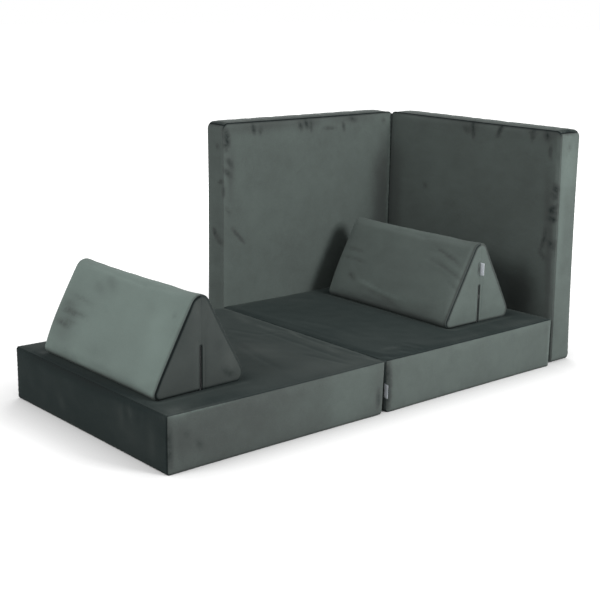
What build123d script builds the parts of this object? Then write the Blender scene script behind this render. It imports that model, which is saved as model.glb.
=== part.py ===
from build123d import *
import math
import os

# Modular foam play sofa, in millimetres.
# +X runs from the free seat block towards the side wall, +Y towards the back wall, +Z up.
# The origin is on the floor, under the middle of the whole set.

# Seat blocks: two thick squares joined by a sewn fold along the top of the seam
block_width = 734
block_depth = 750
block_height = 153
block_side_bulge = 3
block_side_bulge_at_ends = 1
block_crown = 3
block_crown_at_ends = 1
block_top_round = 8
block_foot_round = 12
block_foot_flat_cut = 1
block_fold_draw_in = 5

# Wall panels: a folding mattress of two squares, stood on its edge
panel_width = 743
panel_height = 742
panel_thickness = 80
panel_bulge = 3
panel_bulge_at_ends = 1
panel_edge_round = 6
panel_corner_round = 18
corner_middle_share = 0.25
gap_behind_seat = 5
gap_beside_seat = 10

# Bolsters: triangular cushions, lying across the seat from front to back
# Base and height are those of the triangle before its corners are rounded
bolster_shortfall = 210
bolster_base = 314
bolster_height = 282
bolster_bulge = 3
bolster_bulge_at_ends = 1
bolster_top_round = 31
bolster_foot_round = 30
bolster_rest_gap = 0.3
left_bolster_inset = 23
left_bolster_setback = 107
left_bolster_turn = 1
right_bolster_wall_margin = 66
right_bolster_setback = 115
right_bolster_turn = -0.4

# Covers and foam
fabric_thickness = 2
core_play = 0.3
cut_overrun = 3

# Zips: coil zips that lie in a slot of the cover, with sliders that have no pull
zip_coil_width = 1.7
zip_coil_thickness = 1
zip_tape_width = 11
zip_tape_thickness = 0.5
zip_middle_gap = 1.1
zip_play = 0.3
slider_length = 9.5
slider_width = 6.8
slider_plate = 0.8
slider_post_length = 3
slider_park = 8
zip_bend = 8
seat_zip_height = 30
seat_zip_margin = 35
wall_zip_margin = 35
bolster_zip_height = 118
right_slider_height = 82

# Sewn folds: a rolled seam on the fold line, with its allowance between the two covers
fold_gap = 2.4
fold_edge_round = 3
fold_set_in = 2
fold_play = 0.3
seam_allowance = 14
seam_allowance_thickness = 0.8
seam_end_margin = 6

# Blank cloth tags
tag_height = 40
tag_stand_out = 18
tag_thickness = 0.8
tag_seam_gap = 0.3
seat_tag_from_floor = 46
seat_tag_from_edge = 3
bolster_tag_from_foot = 150

# Depths below the face of a cover at which the layers of a zip lie
tape_depth = fabric_thickness + zip_play
coil_depth = tape_depth - zip_coil_thickness
plate_depth = coil_depth - zip_play - slider_plate
back_plate_depth = tape_depth + zip_tape_thickness + zip_play
channel_depth = back_plate_depth + slider_plate + zip_play
coil_start = zip_middle_gap / 2
tape_end = coil_start + zip_tape_width
slot_half = slider_width / 2 + zip_play
core_inset = fabric_thickness + core_play
fold_edge_distance = math.hypot(fold_gap / 2 + fold_edge_round, fold_edge_round - fold_set_in)
seam_radius = fold_edge_distance - fold_edge_round - fold_play

# Overall size and the places that follow from it
seat_length = 2 * block_width + fold_gap
overall_length = seat_length + gap_beside_seat + panel_thickness + panel_bulge
overall_depth = tag_stand_out + block_depth + gap_behind_seat + panel_thickness + panel_bulge
seat_left_x = -overall_length / 2
seat_front_y = tag_stand_out - overall_depth / 2
seat_fold_x = seat_left_x + block_width + fold_gap / 2
seat_fold_z = block_height - fold_set_in
right_block_x = seat_fold_x + fold_gap / 2
wall_corner_x = seat_left_x + seat_length + gap_beside_seat
wall_corner_y = seat_front_y + block_depth + gap_behind_seat
wall_fold_x = wall_corner_x + fold_set_in
wall_fold_y = wall_corner_y + fold_set_in
bolster_foot_z = block_height + block_crown + bolster_rest_gap
bolster_length = block_depth - bolster_shortfall

left_block_place = Plane(
    (seat_fold_x - fold_gap / 2, seat_front_y + block_depth, 0),
    x_dir=(-1, 0, 0),
    z_dir=(0, 0, 1),
)
right_block_place = Plane((right_block_x, seat_front_y, 0))
back_wall_place = Plane(
    (wall_fold_x - fold_gap / 2, wall_corner_y + panel_thickness / 2, 0),
    x_dir=(-1, 0, 0),
    z_dir=(0, 0, 1),
)
side_wall_place = Plane(
    (wall_corner_x + panel_thickness / 2, wall_fold_y - fold_gap / 2, 0),
    x_dir=(0, -1, 0),
    z_dir=(0, 0, 1),
)


def bolster_place(middle_x, setback, turn):
    """The plane under a bolster, at the middle of its front end, turned as it lies on the seat."""
    angle = math.radians(turn)
    return Plane(
        (middle_x, seat_front_y + setback, bolster_foot_z),
        x_dir=(math.cos(angle), math.sin(angle), 0),
        z_dir=(0, 0, 1),
    )


left_bolster_place = bolster_place(
    seat_left_x + left_bolster_inset + bolster_base / 2, left_bolster_setback, left_bolster_turn
)
right_bolster_place = bolster_place(
    right_block_x + block_width - right_bolster_wall_margin - bolster_base / 2,
    right_bolster_setback,
    right_bolster_turn,
)


def upright(place, along):
    """The plane that cuts a piece crosswise, at a distance along it, seen from its front."""
    return Plane(
        place.from_local_coords((0, along, 0)), x_dir=place.x_dir, z_dir=-place.y_dir
    )


def lengthwise(place, across):
    """The plane that cuts a piece lengthwise, at a distance from its middle."""
    return Plane(
        place.from_local_coords((across, 0, 0)), x_dir=place.y_dir, z_dir=place.x_dir
    )


def block_form(place, inset):
    """A seat block: flat foot, bulged free side, crowned top, and a side drawn in under the fold."""
    stations = (
        (inset, block_side_bulge_at_ends, block_crown_at_ends),
        (block_depth / 2, block_side_bulge, block_crown),
        (block_depth - inset, block_side_bulge_at_ends, block_crown_at_ends),
    )
    foot = inset - block_foot_flat_cut
    top = block_height - inset
    # the fold is at zero, and the free side at the far end of the width
    fold_x = inset
    drawn_in_x = inset + block_fold_draw_in
    free_x = block_width - block_side_bulge - inset
    with BuildPart(mode=Mode.PRIVATE) as form:
        for along, bulge, crown in stations:
            with BuildSketch(upright(place, along)) as outline:
                with BuildLine():
                    Line((free_x, foot), (drawn_in_x, foot))
                    Line((drawn_in_x, foot), (fold_x, top))
                    ThreePointArc(
                        (fold_x, top), ((fold_x + free_x) / 2, top + crown), (free_x, top)
                    )
                    ThreePointArc(
                        (free_x, top), (free_x + bulge, (foot + top) / 2), (free_x, foot)
                    )
                make_face()
                corners = (
                    (drawn_in_x, foot, block_foot_round),
                    (free_x, foot, block_foot_round),
                    (free_x, top, block_top_round),
                    (fold_x, top, fold_edge_round),
                )
                for corner_x, corner_z, radius in corners:
                    near = Vector(corner_x, corner_z)
                    fillet(outline.vertices().sort_by_distance(near)[0], radius - inset)
        loft()
        split(bisect_by=place.offset(inset), keep=Keep.TOP)
    return form.part


def panel_form(place, inset, inner_side):
    """A wall panel: both large faces crowned, narrow edges flat, tight at the sewn fold."""
    stations = (
        (inset, panel_bulge_at_ends),
        (panel_height / 2, panel_bulge),
        (panel_height - inset, panel_bulge_at_ends),
    )
    near_x = inset
    far_x = panel_width - inset
    half = panel_thickness / 2 - inset
    with BuildPart(mode=Mode.PRIVATE) as form:
        for height, bulge in stations:
            with BuildSketch(place.offset(height)) as outline:
                with BuildLine():
                    Line((near_x, half), (near_x, -half))
                    ThreePointArc(
                        (near_x, -half), ((near_x + far_x) / 2, -half - bulge), (far_x, -half)
                    )
                    Line((far_x, -half), (far_x, half))
                    ThreePointArc(
                        (far_x, half), ((near_x + far_x) / 2, half + bulge), (near_x, half)
                    )
                make_face()
                corners = (
                    (near_x, inner_side * half, fold_edge_round),
                    (near_x, -inner_side * half, panel_edge_round),
                    (far_x, half, panel_edge_round),
                    (far_x, -half, panel_edge_round),
                )
                for corner_x, corner_y, radius in corners:
                    near = Vector(corner_x, corner_y)
                    fillet(outline.vertices().sort_by_distance(near)[0], radius - inset)
        loft()
        reach = panel_corner_round - inset
        middle = reach * corner_middle_share
        with BuildSketch(upright(place, 0)):
            for end_x, side_x in ((near_x, 1), (far_x, -1)):
                for end_z, side_z in ((inset, 1), (panel_height - inset, -1)):
                    outer_x = end_x - side_x * cut_overrun
                    outer_z = end_z - side_z * cut_overrun
                    start = (outer_x, end_z + side_z * reach)
                    finish = (end_x + side_x * reach, outer_z)
                    with BuildLine():
                        ThreePointArc(
                            start, (end_x + side_x * middle, end_z + side_z * middle), finish
                        )
                        Polyline(finish, (outer_x, outer_z), start)
                    make_face()
        extrude(amount=panel_thickness, both=True, mode=Mode.SUBTRACT)
    return form.part


def bolster_form(place, inset):
    """A bolster: a flat base, two crowned slopes and a rounded ridge."""
    stations = (
        (inset, bolster_bulge_at_ends),
        (bolster_length / 2, bolster_bulge),
        (bolster_length - inset, bolster_bulge_at_ends),
    )
    slope = math.atan2(bolster_height, bolster_base / 2)
    level_inset = inset / math.sin(slope)
    foot_x = bolster_base / 2 - level_inset - inset / math.tan(slope)
    ridge_z = (bolster_base / 2 - level_inset) * math.tan(slope)
    with BuildPart(mode=Mode.PRIVATE) as form:
        for along, bulge in stations:
            out_x = foot_x / 2 + bulge * math.sin(slope)
            out_z = (inset + ridge_z) / 2 + bulge * math.cos(slope)
            with BuildSketch(upright(place, along)) as outline:
                with BuildLine():
                    Line((-foot_x, inset), (foot_x, inset))
                    ThreePointArc((foot_x, inset), (out_x, out_z), (0, ridge_z))
                    ThreePointArc((0, ridge_z), (-out_x, out_z), (-foot_x, inset))
                make_face()
                corners = (
                    (-foot_x, inset, bolster_foot_round),
                    (foot_x, inset, bolster_foot_round),
                    (0, ridge_z, bolster_top_round),
                )
                for corner_x, corner_z, radius in corners:
                    near = Vector(corner_x, corner_z)
                    fillet(outline.vertices().sort_by_distance(near)[0], radius - inset)
        loft()
    return form.part


def straight_layer(run, length, depth, thickness, near, far):
    """Layers of a straight zip: strips on both sides of the middle, below the face of the cover."""
    with BuildPart(mode=Mode.PRIVATE) as layer:
        with BuildSketch(run.offset(-depth - thickness)):
            with Locations(
                (length / 2, (near + far) / 2),
                (length / 2, -(near + far) / 2),
            ):
                Rectangle(length, far - near)
        extrude(amount=thickness)
    return layer.part


def wrapped_layer(place, outer_depth, inner_depth, near, far, bend, rise):
    """Layers of a bolster's zip, up one end, along under the base and up the other end."""
    with BuildPart(mode=Mode.PRIVATE) as layer:
        for start in (near, -far):
            with BuildSketch(lengthwise(place, start)) as band:
                with BuildLine():
                    Polyline(
                        (outer_depth, rise),
                        (outer_depth, outer_depth),
                        (bolster_length - outer_depth, outer_depth),
                        (bolster_length - outer_depth, rise),
                        (bolster_length - inner_depth, rise),
                        (bolster_length - inner_depth, inner_depth),
                        (inner_depth, inner_depth),
                        (inner_depth, rise),
                        close=True,
                    )
                make_face()
                if bend > 0:
                    for depth in (outer_depth, inner_depth):
                        for end in (depth, bolster_length - depth):
                            near_corner = Vector(end, depth)
                            corner = band.vertices().sort_by_distance(near_corner)[0]
                            fillet(corner, bend - depth)
            extrude(amount=far - near)
    return layer.part


def zip_slider(name, run, at):
    """A slider: a plate over the coil, a plate behind the tape and the post between them."""
    with BuildPart() as slider:
        for depth in (plate_depth, back_plate_depth):
            with BuildSketch(run.offset(-depth - slider_plate)) as plate:
                with Locations((at, 0)):
                    Rectangle(slider_length, slider_width)
                fillet(plate.vertices(), slider_plate)
            extrude(amount=slider_plate)
        with BuildSketch(run.offset(-back_plate_depth)):
            with Locations((at - (slider_length - slider_post_length) / 2, 0)):
                Rectangle(slider_post_length, zip_middle_gap - 2 * zip_play)
        extrude(amount=back_plate_depth - plate_depth)
    slider.part.label = f"{name}_zip_slider"
    export_step(slider.part, f"parts/{name}_zip_slider.step")


def padded_piece(name, outside, hollow, core, slot, channel, tape, coil):
    """A cover with its slot, the foam with the channel that the zip presses in, tape and coil."""
    with BuildPart() as cover:
        add(outside)
        add(hollow, mode=Mode.SUBTRACT)
        add(slot, mode=Mode.SUBTRACT)
    cover.part.label = f"{name}_cover"
    export_step(cover.part, f"parts/{name}_cover.step")

    with BuildPart() as foam:
        add(core)
        add(channel, mode=Mode.SUBTRACT)
    foam.part.label = f"{name}_foam"
    export_step(foam.part, f"parts/{name}_foam.step")

    with BuildPart() as zip_tape:
        add(tape)
    zip_tape.part.label = f"{name}_zip_tape"
    export_step(zip_tape.part, f"parts/{name}_zip_tape.step")

    with BuildPart() as zip_coil:
        add(coil)
    zip_coil.part.label = f"{name}_zip_coil"
    export_step(zip_coil.part, f"parts/{name}_zip_coil.step")


def straight_zipped_piece(name, form, run, length, slider_at):
    """A padded piece whose zip is one straight run; form makes its shape at a given inset."""
    padded_piece(
        name,
        outside=form(0),
        hollow=form(fabric_thickness),
        core=form(core_inset),
        slot=straight_layer(
            run, length, -cut_overrun, cut_overrun + fabric_thickness + zip_play, 0, slot_half
        ),
        channel=straight_layer(
            run.offset(zip_play),
            length,
            0,
            channel_depth + zip_play,
            0,
            tape_end + zip_play,
        ),
        tape=straight_layer(run, length, tape_depth, zip_tape_thickness, coil_start, tape_end),
        coil=straight_layer(
            run,
            length,
            coil_depth,
            zip_coil_thickness,
            coil_start,
            coil_start + zip_coil_width,
        ),
    )
    zip_slider(name, run, slider_at)


def bolster(name, place, slider_run, slider_at):
    """A bolster with the zip that runs under its base and up both end faces."""
    rise = bolster_zip_height
    padded_piece(
        name,
        outside=bolster_form(place, 0),
        hollow=bolster_form(place, fabric_thickness),
        core=bolster_form(place, core_inset),
        slot=wrapped_layer(
            place, -cut_overrun, fabric_thickness + zip_play, 0, slot_half, 0, rise
        ),
        channel=wrapped_layer(
            place,
            coil_depth - zip_play,
            channel_depth,
            0,
            tape_end + zip_play,
            zip_bend,
            rise + zip_play,
        ),
        tape=wrapped_layer(
            place,
            tape_depth,
            tape_depth + zip_tape_thickness,
            coil_start,
            tape_end,
            zip_bend,
            rise,
        ),
        coil=wrapped_layer(
            place,
            coil_depth,
            tape_depth,
            coil_start,
            coil_start + zip_coil_width,
            zip_bend,
            rise,
        ),
    )
    zip_slider(name, slider_run, slider_at)


def fold_seam(name, fold, length):
    """The rolled seam along a fold line, with the sewn allowance that lies beside one cover."""
    allowance_y = fold_gap / 2 - fold_play - seam_allowance_thickness / 2
    with BuildPart() as seam:
        with BuildSketch(fold):
            Circle(seam_radius)
            with Locations((seam_allowance / 2, -allowance_y)):
                Rectangle(seam_allowance, seam_allowance_thickness)
        extrude(amount=length)
    seam.part.label = name
    export_step(seam.part, f"parts/{name}.step")


os.makedirs("parts", exist_ok=True)

# Seat blocks, with a level zip low in the rear face
seat_zip_length = block_width - 2 * seat_zip_margin
seats = (
    ("seat_left", left_block_place, seat_left_x),
    ("seat_right", right_block_place, right_block_x),
)
for name, place, block_left_x in seats:
    run = Plane(
        (block_left_x + seat_zip_margin, seat_front_y + block_depth, seat_zip_height),
        x_dir=(1, 0, 0),
        z_dir=(0, 1, 0),
    )
    straight_zipped_piece(
        name,
        lambda inset: block_form(place, inset),
        run,
        seat_zip_length,
        slider_park,
    )

# Wall panels, with an upright zip in the narrow edge beside the fold
wall_zip_length = panel_height - 2 * wall_zip_margin
walls = (("back_wall", back_wall_place, 1), ("side_wall", side_wall_place, -1))
for name, place, inner_side in walls:
    run = Plane(
        place.from_local_coords((0, 0, wall_zip_margin)),
        x_dir=place.z_dir,
        z_dir=-place.x_dir,
    )
    straight_zipped_piece(
        name,
        lambda inset: panel_form(place, inset, inner_side),
        run,
        wall_zip_length,
        slider_park,
    )

# Bolsters: the left one is zipped shut at its rear end, the right one stops short in front
left_rear_run = Plane(
    left_bolster_place.from_local_coords((0, bolster_length, 0)),
    x_dir=left_bolster_place.z_dir,
    z_dir=left_bolster_place.y_dir,
)
bolster("bolster_left", left_bolster_place, left_rear_run, bolster_zip_height - slider_park)
right_front_run = Plane(
    right_bolster_place.origin,
    x_dir=right_bolster_place.z_dir,
    z_dir=-right_bolster_place.y_dir,
)
bolster("bolster_right", right_bolster_place, right_front_run, right_slider_height)

# Sewn folds: one along the top of the seat's seam, one up the inner corner of the walls
seat_fold = Plane(
    (seat_fold_x, seat_front_y + seam_end_margin, seat_fold_z),
    x_dir=(0, 0, -1),
    z_dir=(0, 1, 0),
)
wall_fold = Plane((wall_fold_x, wall_fold_y, seam_end_margin))
fold_seam("seat_fold_seam", seat_fold, block_depth - 2 * seam_end_margin)
fold_seam("wall_fold_seam", wall_fold, panel_height - 2 * seam_end_margin)

# Blank cloth tags, standing out of the seams in front
with BuildPart() as seat_tag:
    with BuildSketch(Plane((right_block_x, seat_front_y, seat_tag_from_floor))):
        with Locations(
            (
                seat_tag_from_edge + block_fold_draw_in,
                -tag_seam_gap - (tag_stand_out - tag_seam_gap) / 2,
            )
        ):
            Rectangle(tag_thickness, tag_stand_out - tag_seam_gap)
    extrude(amount=tag_height)
seat_tag.part.label = "seat_tag"
export_step(seat_tag.part, "parts/seat_tag.step")

with BuildPart() as bolster_tag:
    with BuildSketch(right_bolster_place.offset(bolster_tag_from_foot)):
        with Locations((0, -tag_seam_gap - (tag_stand_out - tag_seam_gap) / 2)):
            Rectangle(tag_thickness, tag_stand_out - tag_seam_gap)
    extrude(amount=tag_height)
bolster_tag.part.label = "bolster_tag"
export_step(bolster_tag.part, "parts/bolster_tag.step")
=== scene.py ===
import functools
import itertools
import math

import bpy
import numpy as np
from mathutils import Matrix, Vector


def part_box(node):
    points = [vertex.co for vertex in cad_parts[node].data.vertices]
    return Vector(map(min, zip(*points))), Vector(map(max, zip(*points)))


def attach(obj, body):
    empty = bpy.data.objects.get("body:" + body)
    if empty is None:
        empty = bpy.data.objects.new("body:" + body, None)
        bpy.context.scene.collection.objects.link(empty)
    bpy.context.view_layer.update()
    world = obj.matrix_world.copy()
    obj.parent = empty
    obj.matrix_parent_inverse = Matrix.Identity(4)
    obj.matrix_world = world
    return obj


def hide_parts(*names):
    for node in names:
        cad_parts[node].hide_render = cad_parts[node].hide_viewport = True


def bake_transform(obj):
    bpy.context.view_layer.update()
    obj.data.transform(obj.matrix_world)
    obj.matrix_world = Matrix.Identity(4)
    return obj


# Modular foam play sofa in short-pile velvet: two seat blocks joined by a sewn fold, a folding
# wall of two panels round one corner, and two loose triangular bolsters.
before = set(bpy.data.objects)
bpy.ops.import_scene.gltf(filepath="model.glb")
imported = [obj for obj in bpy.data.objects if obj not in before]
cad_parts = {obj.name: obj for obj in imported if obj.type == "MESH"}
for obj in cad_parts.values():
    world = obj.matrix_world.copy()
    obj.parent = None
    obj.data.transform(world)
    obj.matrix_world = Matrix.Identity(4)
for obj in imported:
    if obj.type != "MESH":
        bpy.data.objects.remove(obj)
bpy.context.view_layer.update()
MM = 0.001

# Camera
CAMERA_PLACE = (-2.3632, -2.7213, 1.1553)
CAMERA_YAW = math.radians(40.847)
CAMERA_PITCH = math.radians(14.266)
CAMERA_ROLL = math.radians(0.904)
CAMERA_LENS = 73.56

forward = np.array(
    (
        math.sin(CAMERA_YAW) * math.cos(CAMERA_PITCH),
        math.cos(CAMERA_YAW) * math.cos(CAMERA_PITCH),
        -math.sin(CAMERA_PITCH),
    )
)
level_right = np.array((math.cos(CAMERA_YAW), -math.sin(CAMERA_YAW), 0))
level_up = np.cross(level_right, forward)
right = math.cos(CAMERA_ROLL) * level_right + math.sin(CAMERA_ROLL) * level_up
up = -math.sin(CAMERA_ROLL) * level_right + math.cos(CAMERA_ROLL) * level_up
camera = bpy.data.objects.new("camera", bpy.data.cameras.new("camera"))
camera.data.lens = CAMERA_LENS
camera.data.sensor_width = 36
camera.matrix_world = Matrix(
    [(right[i], up[i], -forward[i], CAMERA_PLACE[i]) for i in range(3)] + [(0, 0, 0, 1)]
)
bpy.context.scene.collection.objects.link(camera)
bpy.context.scene.camera = camera


# Materials
def colour(code):
    """A colour written as sRGB hex, turned to the linear values that a shader takes."""
    shares = [int(code[i : i + 2], 16) / 255 for i in (1, 3, 5)]
    linear = [s / 12.92 if s <= 0.04045 else ((s + 0.055) / 1.055) ** 2.4 for s in shares]
    return (*linear, 1)


def add_node(tree, kind, inputs=None, **settings):
    """Adds a node with its settings; inputs are values, or nodes and sockets linked to it."""
    node = tree.nodes.new("ShaderNode" + kind)
    for name, value in settings.items():
        setattr(node, name, value)
    for name, value in (inputs or {}).items():
        if isinstance(value, bpy.types.Node):
            value = value.outputs[0]
        if isinstance(value, bpy.types.NodeSocket):
            tree.links.new(value, node.inputs[name])
        else:
            node.inputs[name].default_value = value
    return node


def new_material(name):
    """A bare material, and the function that adds nodes to it."""
    material = bpy.data.materials.new(name)
    material.use_nodes = True
    material.node_tree.nodes.clear()
    return material, functools.partial(add_node, material.node_tree)


# Short-pile polyester velvet, woven and cut. The pile looks light where it leans towards the
# light and nearly black where it leans away; each panel has its own lay, and that sheen is put
# into its colour as painted sheen and shade. Hands leave soft marks where they brushed it over,
# and painted shade darkens the seams, creases and contacts.
# the tones run from near black, for painted deep shade, through the pile leaning away from the light to
# the pile leaning towards it: shaded and lit tones of one velvet
VELVET_TONES = ((0, "#0b0f0f"), (0.2, "#172020"), (0.6, "#474c4a"), (1, "#7a8983"))
CLOUD_SIZE = 190 * MM
STROKE_SIZE = 42 * MM
BRUISE_GRAIN = 13 * MM
# the pile is 0.3 mm thick in truth; it is drawn at 2.5 mm, the finest that shows in the render
PILE_GRAIN = 2.5 * MM


def make_velvet():
    material, add = new_material("cut_pile_velvet")
    place = add("TexCoord").outputs["Object"]
    lay, crush, lean = [
        add("Attribute", attribute_name=name).outputs["Fac"]
        for name in ("nap_lay_painted_sheen", "pile_crush_and_shade", "painted_shade_and_lean")
    ]
    brushed_way = add("Mapping", {0: place, "Rotation": (0.4, 0.3, 0.7), "Scale": (1.0, 0.45, 1.0)})
    clouds, strokes, grain, tufts = [
        add("TexNoise", {"Vector": way, "Scale": 1 / size, **more})
        for way, size, more in (
            (place, CLOUD_SIZE, {"Detail": 3.0, "Roughness": 0.55}),
            (brushed_way, STROKE_SIZE, {"Detail": 4.0, "Roughness": 0.6, "Distortion": 0.6}),
            (place, PILE_GRAIN, {"Detail": 2.0, "Roughness": 0.7}),
            (place, BRUISE_GRAIN, {"Detail": 3.0, "Distortion": 0.8}),
        )
    ]
    tone = lay
    for noise, strength in ((clouds, 0.13), (strokes, 0.08), (grain, 0.12)):
        shift = add("Math", {0: noise, 1: strength, 2: -strength / 2}, operation="MULTIPLY_ADD")
        tone = add("Math", {0: tone, 1: shift}, operation="ADD")
    # a bruise has a ragged edge, where tufts of the pile stand up again; narrow painted shade
    # gets the same edge
    ragged = add("Math", {0: tufts, 1: 2.6, 2: -0.3}, operation="MULTIPLY_ADD")
    bruise_and_shade = add("Math", {0: crush, 1: ragged}, operation="MULTIPLY")
    # lean holds soft marks and the painted shade of seams, creases and contacts
    for darker in (bruise_and_shade, lean):
        tone = add("Math", {0: tone, 1: darker}, operation="SUBTRACT")
    # below 0 the tone runs on to near black: painted shade where parts meet and in seams, and the
    # deepest bruises
    tone = add("Math", {0: tone, 1: 0.8, 2: 0.2}, operation="MULTIPLY_ADD")
    ramp = add("ValToRGB", {"Fac": tone})
    steps = ramp.color_ramp.elements
    steps[0].color = colour(VELVET_TONES[0][1])
    steps[1].color = colour(VELVET_TONES[-1][1])
    for at, code in VELVET_TONES[1:-1]:
        steps.new(at).color = colour(code)
    uneven = add("Bump", {"Height": strokes, "Strength": 0.25, "Distance": 1.2 * MM})
    furry = add("Bump", {"Height": grain, "Strength": 0.35, "Distance": 0.5 * MM, "Normal": uneven})
    finish = {"Roughness": 0.9, "Specular IOR Level": 0.15, "Sheen Weight": 0.14}
    finish |= {"Sheen Roughness": 0.4, "Sheen Tint": colour("#9fada7")}
    shader = add("BsdfPrincipled", {"Base Color": ramp, "Normal": furry, **finish})
    add("OutputMaterial", {"Surface": shader})
    return material


velvet = make_velvet()


def two_toned(name, pattern, size, more, tones, bump, finish, **settings):
    """A material whose two tones follow a fine pattern of a size in mm.

    bump is how strongly the pattern shapes the surface, and how high it stands in mm.
    """
    material, add = new_material(name)
    place = add("TexCoord").outputs["Object"]
    texture = add(pattern, {"Vector": place, "Scale": 1 / (size * MM), **more}, **settings)
    level = texture.outputs.get("Fac") or texture.outputs["Distance"]
    ends = {6: colour(tones[0]), 7: colour(tones[1])}
    inputs = {"Base Color": add("Mix", {0: level, **ends}, data_type="RGBA").outputs[2], **finish}
    if bump:
        strength, height = bump
        raised = {"Height": level, "Strength": strength, "Distance": height * MM}
        inputs["Normal"] = add("Bump", raised)
    add("OutputMaterial", {"Surface": add("BsdfPrincipled", inputs)})
    return material


# Open-cell polyurethane foam, cut from a block: pale, dull and full of small pores.
foam = two_toned(
    "cut_polyurethane_foam", "TexVoronoi", 1.6, {"Randomness": 1.0}, ("#cfc4a2", "#efe8d2"),
    (0.5, 0.6), {"Roughness": 0.95, "Specular IOR Level": 0.1},
)
# Woven polyester tape, dyed near black: fine ribs across it break up its dull surface.
tape_cloth = two_toned(
    "woven_polyester_tape", "TexWave", 4.4, {"Distortion": 0.8, "Detail": 1.0},
    ("#121515", "#1f2423"), (0.5, 0.2), {"Roughness": 0.8}, bands_direction="DIAGONAL",
)
# Drawn nylon monofilament: smooth, slightly glossy, dyed black right through.
coil_nylon = two_toned(
    "drawn_nylon_coil", "TexNoise", 6, {"Detail": 3.0}, ("#0c0f0f", "#1b201f"), None,
    {"Roughness": 0.38},
)
# Die-cast zinc under black baked lacquer: glossy, with the grain of the casting under it and
# the lacquer a little thinner in places.
slider_lacquer = two_toned(
    "lacquered_zinc_casting", "TexNoise", 1.5, {"Detail": 3.0}, ("#101313", "#252b2b"),
    (0.2, 0.1), {"Roughness": 0.32, "Coat Weight": 0.5, "Coat Roughness": 0.15},
)
# Twisted polyester sewing thread, dyed to match the velvet: a little glossier than the pile.
thread = two_toned(
    "twisted_polyester_thread", "TexWave", 2.2, {"Distortion": 0.4}, ("#252b2a", "#434b49"), None,
    {"Roughness": 0.55}, bands_direction="DIAGONAL",
)
# Satin-woven polyester label tape, heat-cut and left blank: cool white with a soft sheen, and
# threads that run across the light.
label_cloth = two_toned(
    "satin_woven_label", "TexWave", 3.0, {"Distortion": 0.5, "Detail": 1.0},
    ("#c3cad2", "#e3e7ec"), (0.3, 0.15), {"Roughness": 0.5, "Sheen Weight": 0.2},
    bands_direction="Z",
)


# Shaping cloth
def ease(share):
    """Runs smoothly from 0 to 1 as share does, and stays there outside."""
    share = np.clip(share, 0, 1)
    return share * share * (3 - 2 * share)


def plump(share, squareness):
    """The crown of stuffed cloth across a panel: full in the middle and nothing at its seams."""
    return 1 - np.abs(2 * np.clip(share, 0, 1) - 1) ** squareness


NOISE_CELLS = 24


def unevenness(points, size, seed):
    """Smooth lumps from -1 to 1, of a given size in mm, the same at each run."""
    table = np.random.default_rng(seed).uniform(-1, 1, (NOISE_CELLS,) * 3)
    cells = points / size
    base = np.floor(cells).astype(int)
    part = ease(cells - base)
    total = np.zeros(len(points))
    for corner in itertools.product((0, 1), repeat=3):
        weight = np.where(corner, part, 1 - part).prod(axis=1)
        i, j, k = ((base + corner) % NOISE_CELLS).T
        total += weight * table[i, j, k]
    return total


def near_line(points, line):
    """How far each point is from a line of straight runs, and its place along it from 0 to 1."""
    line = np.array(line, float)
    lengths = np.linalg.norm(np.diff(line, axis=0), axis=1)
    nearest = np.full(len(points), np.inf)
    place = np.zeros(len(points))
    done = 0
    for start, finish, length in zip(line, line[1:], lengths):
        share = np.clip((points - start) @ (finish - start) / length**2, 0, 1)
        gap = np.linalg.norm(points - start - share[:, None] * (finish - start), axis=1)
        closer = gap < nearest
        nearest = np.where(closer, gap, nearest)
        place = np.where(closer, (done + share * length) / lengths.sum(), place)
        done += length
    return nearest, place


def graded(low, high, step, fine_at_ends, fine_places=(), fine_offsets=()):
    """Places of grid lines from low to high: fine near both ends and near given places."""
    marks = [low + f for f in fine_at_ends] + [high - f for f in fine_at_ends]
    for middle in fine_places:
        marks += [middle + f for f in fine_offsets] + [middle - f for f in fine_offsets]
    marks = sorted(set(round(m, 4) for m in marks))
    lines = [marks[0]]
    for mark in marks[1:]:
        parts = max(1, round((mark - lines[-1]) / step))
        start = lines[-1]
        lines += [start + (mark - start) * (i + 1) / parts for i in range(parts)]
    return np.array(lines)


def box_grid(lines):
    """The six panels of a box as one grid; gives its points, its quads and each quad's panel."""
    counts = [len(line) for line in lines]
    quads = []
    panels = []
    for axis in range(3):
        a, b = (axis + 1) % 3, (axis + 2) % 3
        ia, ib = np.meshgrid(np.arange(counts[a] - 1), np.arange(counts[b] - 1), indexing="ij")
        for end in (0, 1):
            ring = []
            for da, db in ((0, 0), (1, 0), (1, 1), (0, 1)):
                index = [0, 0, 0]
                index[axis] = np.full(ia.shape, end * (counts[axis] - 1))
                index[a] = ia + da
                index[b] = ib + db
                ring.append((index[0] * counts[1] + index[1]) * counts[2] + index[2])
            if end == 0:
                ring.reverse()
            quads.append(np.stack(ring, -1).reshape(-1, 4))
            panels.append(np.full(ia.size, 2 * axis + end))
    quads = np.concatenate(quads)
    keys, quads = np.unique(quads, return_inverse=True)
    quads = quads.reshape(-1, 4)
    i, rest = np.divmod(keys, counts[1] * counts[2])
    j, k = np.divmod(rest, counts[2])
    points = np.stack((lines[0][i], lines[1][j], lines[2][k]), axis=1)
    return points, quads, np.concatenate(panels)


def add_piece(name, points, faces, material, body=None, replaced=()):
    """Makes a smooth mesh of points in millimetres, and lets it ride on its body."""
    mesh = bpy.data.meshes.new(name)
    mesh.from_pydata((np.asarray(points) * MM).tolist(), [], [tuple(f) for f in faces])
    mesh.materials.append(material)
    mesh.shade_smooth()
    piece = bpy.data.objects.new(name, mesh)
    bpy.context.scene.collection.objects.link(piece)
    if body:
        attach(piece, body)
    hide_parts(*replaced)
    return piece


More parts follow.
